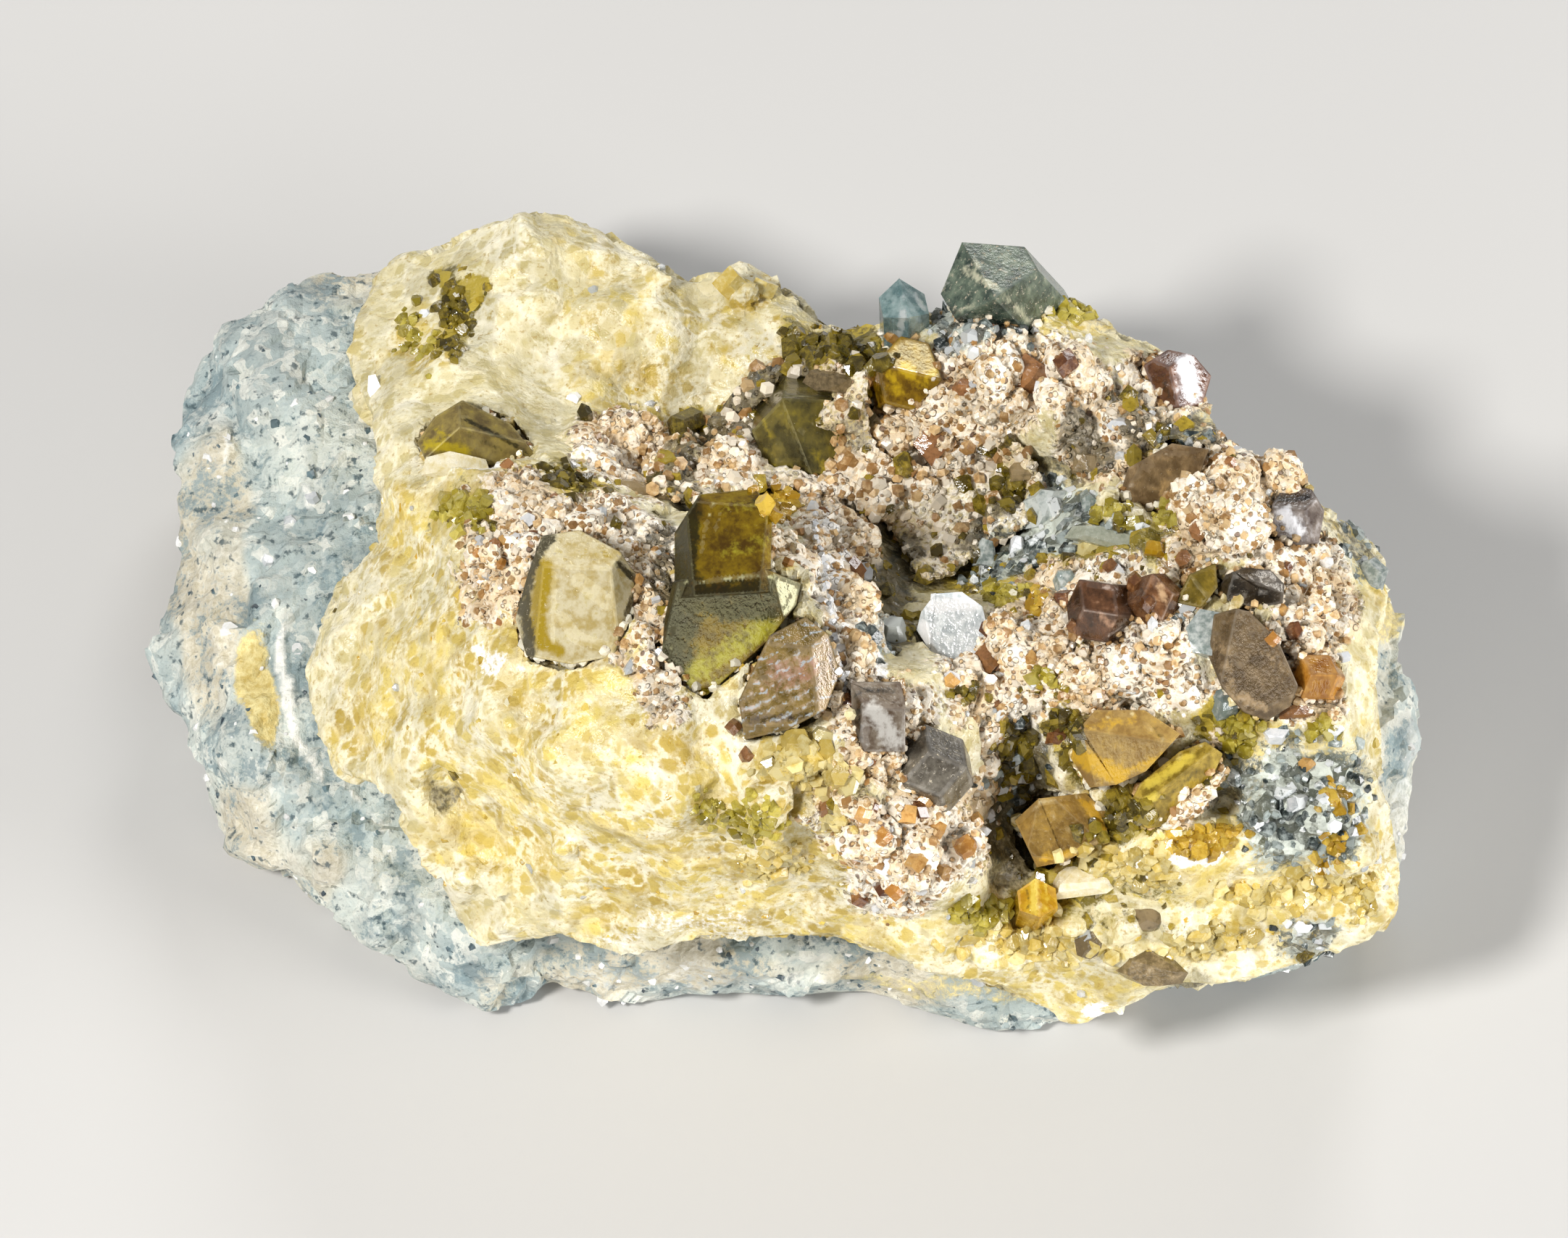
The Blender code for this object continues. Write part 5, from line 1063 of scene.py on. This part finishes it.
def gaps(points, *names):
    """How far points lie outside some pieces: less than 0 within one, 9 where far off."""
    out = np.full(len(points), 9.0)
    for tree in trees_of(names):
        for i, point in enumerate(points):
            spot, normal, _, far = tree.find_nearest(Vector(point) * MM, 0.5 * MM)
            if spot is not None:
                side = (Vector(point) * MM - spot).dot(normal)
                out[i] = min(out[i], math.copysign(far / MM, side))
    return out


def scatter(name, ground, shapes, count, weight, spacing, sizes, sink, material, slot, seed, lean=0.5):
    """Strews small crystals over a surface. sink is the share of its size that each is set down."""
    spots, normal = ground.seats(count, weight, spacing, seed)
    draw = np.random.default_rng(seed + 1)
    crop = Crop()
    for spot, up in zip(spots, normal):
        size = sizes[0] + (sizes[1] - sizes[0]) * draw.random() ** 2
        shape = shapes[draw.integers(len(shapes))]
        tilt = Vector(up) + lean * Vector(draw.normal(size=3)) * 0.5
        turn = tilt.to_track_quat("Z", "Y").to_matrix() @ Matrix.Rotation(draw.random() * math.tau, 3, "Z")
        stretch = np.diag((size * draw.uniform(0.8, 1.2), size * draw.uniform(0.8, 1.2), size))
        crop.add(shape, np.array(turn) @ stretch, spot - up * size * sink, draw.random(3))
    crop.finish(name, material, slot)


# small crystals that the photo shows one by one: shape, across, up, half width, half height,
# half thickness, turn
NAMED = {
    "olive": """
    prism -3.86 7.69 .65 .68 .74 10, prism -7.8 7.86 .4 .48 .45 20, prism 13.76 6.3 .45 .68 .45 0,
    prism 3.89 1.05 .45 .4 .34 10, prism 7.69 4.6 .45 .62 .4 15, prism 9.62 -5.9 .34 .57 .34 -10""",
    "lime": """
    prism 8.6 .57 .34 .45 .28 20, prism 7.07 -11.01 .34 .51 .28 0, prism 8.09 -11.63 .31 .57 .28 10,
    crystal 13.59 3.75 .51 .34 .34 10""",
    "amber": """
    crystal 9.73 .45 .4 .4 .31 0, crystal -1.84 6.87 .43 .34 .34 15, crystal 14.44 2.75 .4 .34 .28 0,
    crystal 22.39 -8.17 .34 .34 .26 20""",
    "yellow": """
    crystal -.54 -5.05 .48 .57 .34 5, crystal .48 -4.71 .57 .51 .34 10, crystal 1.53 -4.82 .51 .62 .34 0,
    crystal 12.06 2.75 .51 .4 .34 0, garnet -2.13 13.22 .54 .54 .4 0, garnet -.88 12.88 .54 .48 .4 20""",
    "garnet": """
    garnet 9.59 9.53 .79 .71 .62 10, garnet 7.89 -1.59 .51 .54 .4 0, garnet 13.65 1.42 .31 .4 .28 20,
    crystal 20.12 -3.6 .74 .31 .28 5, garnet 2.75 1.9 .37 .45 .34 0, garnet -1.96 -4.2 .28 .28 .23 0,
    garnet -1.45 -5.33 .28 .34 .23 0, crystal 1.67 -7.26 .34 .34 .23 20, garnet 16.15 3.46 .34 .37 .28 0,
    garnet 17.28 3.04 .31 .31 .26 20, garnet 15.58 2.33 .31 .34 .26 0, garnet 14.16 .62 .26 .34 .26 10,
    garnet 5.79 6.87 .57 .68 .17 0, garnet -10.81 6.02 .26 .23 .2 0, garnet 11.27 -.28 .26 .26 .23 0,
    garnet 12.74 2.04 .28 .28 .26 0""",
    "orange": """
    garnet 7.07 -8.88 .43 .4 .31 0, garnet 5.93 -8.17 .34 .34 .26 20, garnet 4.8 -7.6 .37 .37 .28 40,
    garnet 3.83 -8.46 .34 .34 .26 0, garnet 5.14 -9.45 .37 .37 .28 10, garnet 6.21 -9.88 .31 .31 .26 30,
    garnet 4.34 -10.58 .34 .34 .26 0, garnet 3.09 -7.6 .31 .31 .26 20, garnet 7.49 -7.89 .31 .31 .26 0,
    garnet 5.51 -7.04 .31 .31 .26 10, garnet 20.37 -5.65 .31 .26 .26 0, garnet 19.38 .34 .28 .28 .23 0,
    garnet 19.89 -.4 .28 .28 .23 0, garnet 19.04 -.79 .26 .26 .2 0, garnet 6.5 -2.44 .31 .28 .23 0,
    garnet -11.95 2.61 .23 .23 .17 0, garnet -11.1 2.19 .23 .26 .17 20, garnet -11.72 1.48 .26 .26 .17 0,
    garnet -10.98 3.04 .2 .2 .17 0, garnet -.43 2.61 .23 .23 .17 0, garnet .14 2.16 .23 .23 .17 20,
    garnet 4.23 11.12 .26 .26 .2 0, garnet 16.49 5.22 .28 .26 .23 0, garnet 17.57 4.6 .26 .26 .23 0,
    garnet 9.62 -1.53 .28 .28 .23 0""",
    "white": """
    tablet -14.13 12.03 .26 .2 .28 0, tablet -8.31 8.65 .3 .24 .24 10, tablet 13.08 7.6 .45 .26 .28 -5,
    tablet -16.12 9.02 .28 .68 .28 10, tablet 3.97 -9.59 .45 .37 .4 20, tablet 19.15 -4.4 .54 .4 .45 0,
    crystal 9.14 2.72 .34 .57 .45 0, tablet 20.26 -12 .4 .28 .34 0, tablet -10.02 3.86 .34 .28 .34 30,
    tablet 3.15 1.82 .31 .43 .4 10, tablet -18.62 4.82 .28 .23 .23 0, tablet -19.47 3.83 .26 .23 .23 20,
    tablet -20.32 2.33 .26 .26 .23 0, tablet 8.06 -2.36 .26 .2 .26 0, tablet -2.67 5.28 .23 .2 .23 0,
    tablet 21.77 -1.5 .28 .23 .26 0, tablet 9.73 -2.5 .23 .23 .23 20, tablet 19.72 -11.01 .28 .23 .26 0,
    tablet 1.11 4.31 .23 .28 .28 0, tablet 17.57 -10.73 .28 .2 .23 0""",
    "pale_blue": """
    tablet 16.43 -.57 .79 1.02 .62 -10, crystal 17.22 -3.23 .51 .57 .4 20, crystal 10.5 4.37 .96 .85 .57 10,
    crystal 22.9 1.62 .62 .74 .34 -30, crystal 4.28 -.74 .57 .79 .45 10, crystal 7.92 2.61 .4 .62 .4 0,
    crystal 11.04 1.48 .45 .51 .34 20, prism 11.89 4.6 .4 .57 .4 0""",
    "smoky": """
    crystal 2.33 9.25 1.31 .45 .51 -5, broken2 14.1 -11.7 .9 .55 .4 -10, broken1 14.16 -13.6 1.75 .8 .57 -12,
    crystal -5.42 4.99 1.48 .31 .4 -14, broken3 11.89 -12.71 .7 .5 .34 20, crystal 9.34 5.73 .57 .45 .4 10,
    crystal 11.89 6.02 .68 .57 .4 0""",
    "fibre": """
    crystal 13.08 3.04 1.87 .43 .4 -14""",
    "cream": """
    crystal -12.63 5.96 1.36 .57 .4 -8, crystal 11.61 -10.16 1.14 .62 .34 10""",
}
# nests of small grains: across, up, half width, half height, turn, count, smallest, largest
NESTS = {
    "olive": """
    -8.6 5.4 .9 .45 -20 42 .14 .36, -13 12 .7 .9 10 48 .12 .36, -13.1 10.6 .5 .5 0 22 .12 .31,
    4.5 -.5 .5 .6 0 22 .14 .38, 7.2 -2.9 .6 .35 0 16 .14 .34, 9 -5 .7 1.6 0 48 .16 .43,
    9 5.3 .9 .7 30 32 .16 .43, 2.2 10.4 2 .5 -4 64 .16 .48, 13.4 -7.7 1.6 .7 20 54 .14 .41,
    11 -4.4 .7 .9 0 32 .14 .38, 16.8 -6.3 1 .4 45 26 .14 .36""",
    "lime": """
    -12.5 4.1 1.1 .6 10 67 .14 .38, 11.5 12.1 .8 .4 -15 35 .16 .41, -1.4 -7.8 1.2 .8 0 64 .12 .34,
    17.7 -4.5 .7 .8 0 38 .14 .38, 20.9 -4.3 .7 .35 0 19 .14 .36, 8.6 .9 .9 .4 0 29 .14 .36,
    10.2 -2.2 .5 .4 0 16 .14 .34, 12.9 4.2 .8 .4 0 26 .14 .36, -3.1 -7.2 .7 .7 0 22 .12 .31,
    -14.4 11 .8 1.4 20 32 .12 .31, 7.6 -11.5 1.2 .6 0 38 .14 .38, 14.9 4 .6 .4 0 19 .14 .34""",
    "amber": """
    -.1 4.5 .9 .5 -10 64 .14 .38, 16.3 -8.7 1.5 .5 5 96 .14 .41, 10 .8 .5 .5 0 19 .14 .34,
    21.4 -8.9 .7 .9 0 26 .14 .34, 21.5 -7 .6 .5 0 16 .14 .31""",
    "yellow": """
    .6 -5.7 1.7 .9 0 96 .16 .46, -.4 -9.5 1.9 .6 5 58 .12 .34, 13.2 -9.4 2.2 .8 -6 80 .14 .41,
    19.6 -10.6 2.6 .8 8 90 .14 .41, 9.4 -12.6 2.6 .8 -4 80 .14 .41, 17 -12.6 2.6 .6 8 64 .14 .38,
    22.6 -10.8 .8 1.2 0 38 .14 .38, 1.9 -7.8 .6 .6 0 19 .12 .34""",
}
NAMED_LOOKS = {    # dark and light colour, clearness, roughness
    "olive": ("olive_crystal_look", (80, 68, 16), (156, 136, 42), 0.4, 0.1),
    "lime": ("lime_crystal_look", (172, 154, 40), (222, 206, 96), 0.4, 0.1),
    "amber": ("amber_crystal_look_small", (192, 148, 28), (236, 200, 78), 0.4, 0.1),
    "yellow": ("yellow_crystal_look", (216, 188, 92), (242, 226, 160), 0.3, 0.16),
    "garnet": ("brown_garnet_look_small", (100, 62, 34), (156, 110, 68), 0.2, 0.1),
    "orange": ("orange_garnet_look_small", (176, 120, 50), (222, 174, 102), 0.25, 0.14),
    "white": ("white_facet_look", (226, 230, 234), (255, 255, 255), 0.1, 0.08),
    "pale_blue": ("pale_blue_look", (140, 156, 152), (230, 236, 232), 0.4, 0.1),
    "smoky": ("smoky_crystal_look", (110, 94, 64), (170, 148, 108), 0.35, 0.14),
    "fibre": ("fibre_look", (166, 172, 150), (200, 204, 184), 0.2, 0.2),
    "cream": ("cream_crystal_look", (222, 206, 150), (242, 234, 206), 0.25, 0.2),
}
SCATTERED_LOOKS = {    # dark and light colour, clearness, roughness, pale colour and its share
    "garnet_bead": ((148, 108, 58), (214, 182, 132), 0.05, 0.25, (240, 228, 206), 0.35),
    "dark_garnet": ((92, 54, 30), (154, 106, 62), 0.1, 0.12),
    "yellow_grain": ((202, 160, 40), (232, 206, 104), 0.25, 0.2, (244, 236, 200), 0.2),
    "cream_grain": ((196, 170, 96), (236, 224, 178), 0.15, 0.25, (246, 240, 218), 0.4),
    "olive_grain": ((90, 76, 18), (190, 164, 52), 0.35, 0.12),
    "quartz": ((214, 220, 222), (250, 250, 250), 0.35, 0.1),
    "grey_druse": ((40, 50, 50), (168, 178, 174), 0.25, 0.15, (236, 240, 240), 0.25),
    "rock_speck": ((44, 60, 70), (92, 114, 120), 0.0, 0.35),
    "rock_painted_glint": ((238, 238, 234), (255, 255, 255), 0.1, 0.12),
}
# lumps of crust: across, up, half width, half height, half thickness, turn
CRUST_LUMPS = rows("""
    -6.04 6.81 1.53 1.36 .85 -30, -2.13 6.02 1.02 1.14 .74 -7, 2.75 2.95 .94 .68 .74 16,
    2.92 .57 .88 .82 .68 -21, 2.81 -1.48 .57 1.08 .57 2, 19.49 5.59 .77 1.08 .85 25, 16.05 -6.9 1.7 .4 .62 46,
    -.09 2.61 .85 .96 .4 11, 8.43 -.5 .62 .51 .45 -26, 8.91 -3.06 .96 .79 .57 -3, 10.47 -1.36 .85 .74 .51 20,
    11.61 -2.78 .74 .68 .51 -17, 6.21 8.29 1.42 .85 .62 6, 4.51 7.15 1.14 .74 .57 29,
    17.57 3.75 1.36 1.14 .62 -8, 16.15 4.88 1.02 .85 .51 15""")
# white grains along a line: across, up
WHITE_SEAM = rows("1.1 4.6, 1.3 3.2, 1.55 1.8, 1.75 .6, 1.95 -.7, 2.15 -1.8, 2.35 -2.8")


class Seats:
    """Finds how far out the dressed surface lies at a place on the display face."""

    def __init__(self):
        self.trees = trees_of(pieces)

    def find(self, across, up):
        """The seat at a place, or the next one towards the middle where that place lies off the edge."""
        while True:
            start = place(across, up, ABOVE)
            hits = [tree.ray_cast(start, INWARD)[3] for tree in self.trees]
            hits = [hit for hit in hits if hit is not None]
            if hits:
                return across, up, ABOVE - min(hits) / MM
            across, up = 0.98 * across, 0.98 * up


def face_turn(turn, tilt_up, tilt_across):
    """Rotation on the display face, as a 3 by 3 matrix from its axes to the world's."""
    face = Matrix(((1.0, 0.0, 0.0), (0.0, SIN, -COS), (0.0, COS, SIN)))
    local = Euler((math.radians(tilt_up), math.radians(tilt_across), math.radians(turn))).to_matrix()
    return np.array(face @ local)


def any_turn(draw, lean):
    return face_turn(draw.random() * 360.0, draw.normal() * lean, draw.normal() * lean)


def middle_of(across, up, out):
    return np.array(place(across, up, out)) / MM


def named_crystals():
    seats = Seats()
    draw = np.random.default_rng(301)
    looks = {group: grain_look(*look) for group, look in NAMED_LOOKS.items()}
    for group, table in NAMED.items():
        crop = Crop()
        for row in table.split(","):
            shape, *numbers = row.split()
            across, up, half_a, half_u, half_o, turn = map(float, numbers)
            across, up, out = seats.find(across, up)
            lean = draw.normal(size=2) * 20.0
            crop.add(SHAPES[shape], face_turn(turn, *lean) @ np.diag((half_a, half_u, half_o)) * 0.94,
                     middle_of(across, up, out - 0.1 * half_o), draw.random(3))
        for nest_a, nest_u, half_a, half_u, turn, count, smallest, largest in rows(NESTS.get(group, "")):
            c, s = math.cos(math.radians(turn)), math.sin(math.radians(turn))
            for k in range(int(count)):
                da, du = np.clip(draw.normal(size=2) * 0.5, -1.3, 1.3) * (half_a, half_u)
                across, up, out = seats.find(nest_a + da * c - du * s, nest_u + da * s + du * c)
                size = smallest + (largest - smallest) * draw.random() ** 1.6
                turned = any_turn(draw, 28.0) @ np.diag(size * draw.uniform(0.8, 1.25, size=3))
                crop.add(PRISM if k % 4 == 0 else BROKEN[k % 5], turned,
                         middle_of(across, up, out - 0.35 * size), draw.random(3))
        crop.finish("named_" + group, looks[group], "epidote_mass")
    white_seam(seats, draw, looks["white"])
    crust_lumps(seats)


def white_seam(seats, draw, material):
    """Small white grains in a row, nine between each two places of the table."""
    seam = Crop()
    for (a0, u0), (a1, u1) in zip(WHITE_SEAM, WHITE_SEAM[1:]):
        for k in range(9):
            t = (k + draw.random()) / 9.0
            across = a0 + (a1 - a0) * t + draw.normal() * 0.05
            up = u0 + (u1 - u0) * t
            size = 0.07 + 0.09 * draw.random()
            turned = any_turn(draw, 30.0) * size
            seam.add(BROKEN[k % 5], turned, middle_of(across, up, seats.find(across, up)[2] + 0.3 * size),
                     draw.random(3))
    seam.finish("white_seam", material, "epidote_mass")


def crust_lumps(seats):
    """Rounded lumps of crust, with the relief and the looks of the crust."""
    bm = bmesh.new()
    for across, up, half_a, half_u, half_o, turn in CRUST_LUMPS:
        ball = bmesh.ops.create_icosphere(bm, subdivisions=5 if half_a > 1.0 else 4, radius=1.0)["verts"]
        turned = Matrix(face_turn(turn, 0.0, 0.0).tolist())
        centre = place(across, up, seats.find(across, up)[2] - 0.35 * half_o)
        for vert in ball:
            size = Vector((vert.co.x * half_a, vert.co.y * half_u, vert.co.z * half_o))
            vert.co = turned @ size * MM + centre
    mesh = finished(bm, bpy.data.meshes.new("lumps"))
    points = coords(mesh)
    dome, crevice = packed_lumps(points, 0.8, 305)
    points += vectors(mesh, "normal") * (0.22 * dome - 0.12 * crevice + 0.16 * facet_height(points, 0.9, 311)
                                         + 0.12 * smooth_noise(points, 0.5, 312) - 0.06)[:, None]
    set_coords(mesh, points)
    keep_values(mesh, "zones_a", (1.0, 0.0, 0.0))
    # the dark value is painted shade in the crevices and pits
    keep_values(mesh, "zones_b", (0.0, np.maximum(0.7 * crevice, 0.75 * relief.recess_shade(on_face(points))), 0.0))
    keep_mottle(mesh, points, 0.9, 320)
    add_piece("crust_lumps", mesh, bpy.data.materials["massive_epidote"], "epidote_mass")


def small_crystals():
    ground = Ground(pieces["epidote"].data, ZONES)
    crust, yellow, olive, _, dark, blue = ground.zone.values()
    massive = np.clip(1.0 - crust - blue, 0.0, 1.0)
    look = {name: grain_look(name + "_look", *values) for name, values in SCATTERED_LOOKS.items()}
    # pale beads thin out and olive grains gather in the dark zone, which keeps its painted shade dark
    scatter("garnet_beads", ground, [GARNET], 12000, crust ** 2 * (1.0 - 0.85 * dark), 0.3, (0.09, 0.2), 0.6,
            look["garnet_bead"], "epidote_mass", 201, 2.0)
    scatter("dark_garnets", ground, [GARNET], 90, crust ** 2, 1.2, (0.16, 0.4), 0.4,
            look["dark_garnet"], "epidote_mass", 205)
    scatter("yellow_grains", ground, BROKEN, 400, massive * yellow, 0.8, (0.1, 0.26), 0.7,
            look["yellow_grain"], "epidote_mass", 207)
    scatter("olive_grains", ground, [PRISM] + BROKEN, 600, olive ** 2 + 0.3 * dark, 0.5, (0.14, 0.4), 0.5,
            look["olive_grain"], "epidote_mass", 211, 0.8)
    scatter("quartz_points", ground, [POINT, TABLET], 220, 0.2 + crust + blue, 1.0, (0.14, 0.36), 0.3,
            look["quartz"], "epidote_mass", 213, 0.8)
    scatter("grey_druse", ground, [TABLET, POINT, PRISM] + BROKEN, 1300, blue ** 2, 0.4, (0.14, 0.4), 0.35,
            look["grey_druse"], "epidote_mass", 215, 0.9)

    lumps = Ground(pieces["crust_lumps"].data, ZONES)
    scatter("lump_beads", lumps, [GARNET], 4000, np.ones(len(lumps.area)), 0.31, (0.10, 0.22), 0.5,
            look["garnet_bead"], "epidote_mass", 241, 2.0)

    # fringes that climb the large crystals where the mass meets them
    crystals = bmesh.new()
    for node in CRYSTALS:
        if node != "silver_plate":
            crystals.from_mesh(pieces[node + "_glass"].data)
    sides = Ground(finished(crystals, bpy.data.meshes.new("crystals")), ZONES)
    gap = gaps(sides.middle, "epidote", "crust_lumps")
    patches = fade(smooth_noise(sides.middle, 0.8, 251), -0.5, 0.3)
    close = (gap > -0.08) * (1.0 - fade(gap, 0.08, 0.42)) * patches
    crust = sides.zone["crust"]
    scatter("fringe_beads", sides, [GARNET] + BROKEN, 3000, close * (0.15 + crust), 0.2, (0.1, 0.24), 0.1,
            look["garnet_bead"], "epidote_mass", 253, 2.0)
    scatter("fringe_grains", sides, BROKEN, 1400, close * (1.0 - crust), 0.24, (0.12, 0.3), 0.1,
            look["cream_grain"], "epidote_mass", 257, 2.0)

    hollow = Ground(pieces["druse"].data, ZONES)
    crust = hollow.zone["crust"]
    scatter("hollow_beads", hollow, [GARNET], 900, 0.3 + crust, 0.36, (0.12, 0.3), 0.2,
            look["garnet_bead"], "hollow_crust", 221)
    scatter("hollow_druse", hollow, [PRISM] + BROKEN, 160, 1.0 - 0.6 * crust, 0.9, (0.2, 0.45), 0.4,
            look["olive_grain"], "hollow_crust", 223, 0.9)

    stone = Ground(pieces["rock"].data, ROCK_ZONES)
    scatter("rock_specks", stone, BROKEN, 700, 1.0 - 0.7 * stone.zone["cream"], 0.7, (0.1, 0.24), 0.7,
            look["rock_speck"], "host_rock", 233)
    gap = gaps(stone.middle, "epidote")
    patches = fade(smooth_noise(stone.middle, 1.2, 261), -0.6, 0.1)
    close = (gap > -0.05) * (1.0 - fade(gap, 0.1, 0.5)) * patches
    scatter("contact_grains", stone, BROKEN, 1900, close, 0.26, (0.14, 0.36), 0.1,
            look["cream_grain"], "host_rock", 263, 2.0)
    # white grains that stand in for glints: painted highlights
    scatter("rock_painted_glints", stone, [TABLET, POINT], 260, 0.2 + stone.zone["white"], 0.7, (0.12, 0.32), 0.5,
            look["rock_painted_glint"], "host_rock", 235, 0.9)


# ---- stage ----

LAMPS = {    # place in metres, width, power, colour, gloss
    "key": ((-0.20, -0.18, 0.36), 0.09, 1.95, (1.0, 0.98, 0.95), 1.0),
    "fill": ((0.42, -0.14, 0.13), 0.24, 2.1, (1.0, 0.99, 0.98), 0.1),
    "low": ((-0.06, -0.42, 0.10), 0.26, 0.4, (1.0, 1.0, 1.0), 0.0),
    "back": ((0.10, 0.34, 0.26), 0.16, 0.6, (1.0, 1.0, 1.0), 1.0),
}


def studio():
    """Plain pale floor, soft lights, and the camera that looks straight at the display face."""
    bm = bmesh.new()
    bmesh.ops.create_grid(bm, x_segments=1, y_segments=1, size=1.5)
    floor = add_object("floor", finished(bm, bpy.data.meshes.new("floor")))
    look = Look("floor_paper")
    paper = look.mix(look.noise(60.0), (190, 189, 187), (196, 195, 193))
    floor.data.materials.append(look.set(Base_Color=paper, Roughness=0.9))

    for name, (spot, size, power, colour, gloss) in LAMPS.items():
        data = bpy.data.lights.new(name, "AREA")
        data.shape, data.size = "DISK", size
        data.energy, data.color, data.specular_factor = power, colour, gloss
        lamp = add_object(name, data)
        lamp.location = spot
        lamp.rotation_euler = (-Vector(spot)).to_track_quat("-Z", "Y").to_euler()
    world = bpy.data.worlds.new("studio")
    world.use_nodes = True
    background = world.node_tree.nodes["Background"]
    background.inputs["Color"].default_value = (0.96, 0.97, 1.0, 1.0)
    background.inputs["Strength"].default_value = 0.24
    scene = bpy.context.scene
    scene.world = world

    camera = add_object("camera", bpy.data.cameras.new("camera"))
    camera.location = place(0.0, 0.0, CAMERA_DISTANCE)
    camera.rotation_euler = (math.pi / 2.0 - LEAN, 0.0, 0.0)
    camera.data.sensor_width = 36.0
    camera.data.lens = 36.0 * (CAMERA_DISTANCE - FOCUS_OUT) / FRAME_WIDTH
    camera.data.clip_start, camera.data.clip_end = 0.05, 10.0
    scene.camera = camera
    scene.view_settings.view_transform = "Standard"


relief = Relief()
epidote_skin()
rock_skin()
druse_skin()
large_crystals()
named_crystals()
small_crystals()
studio()
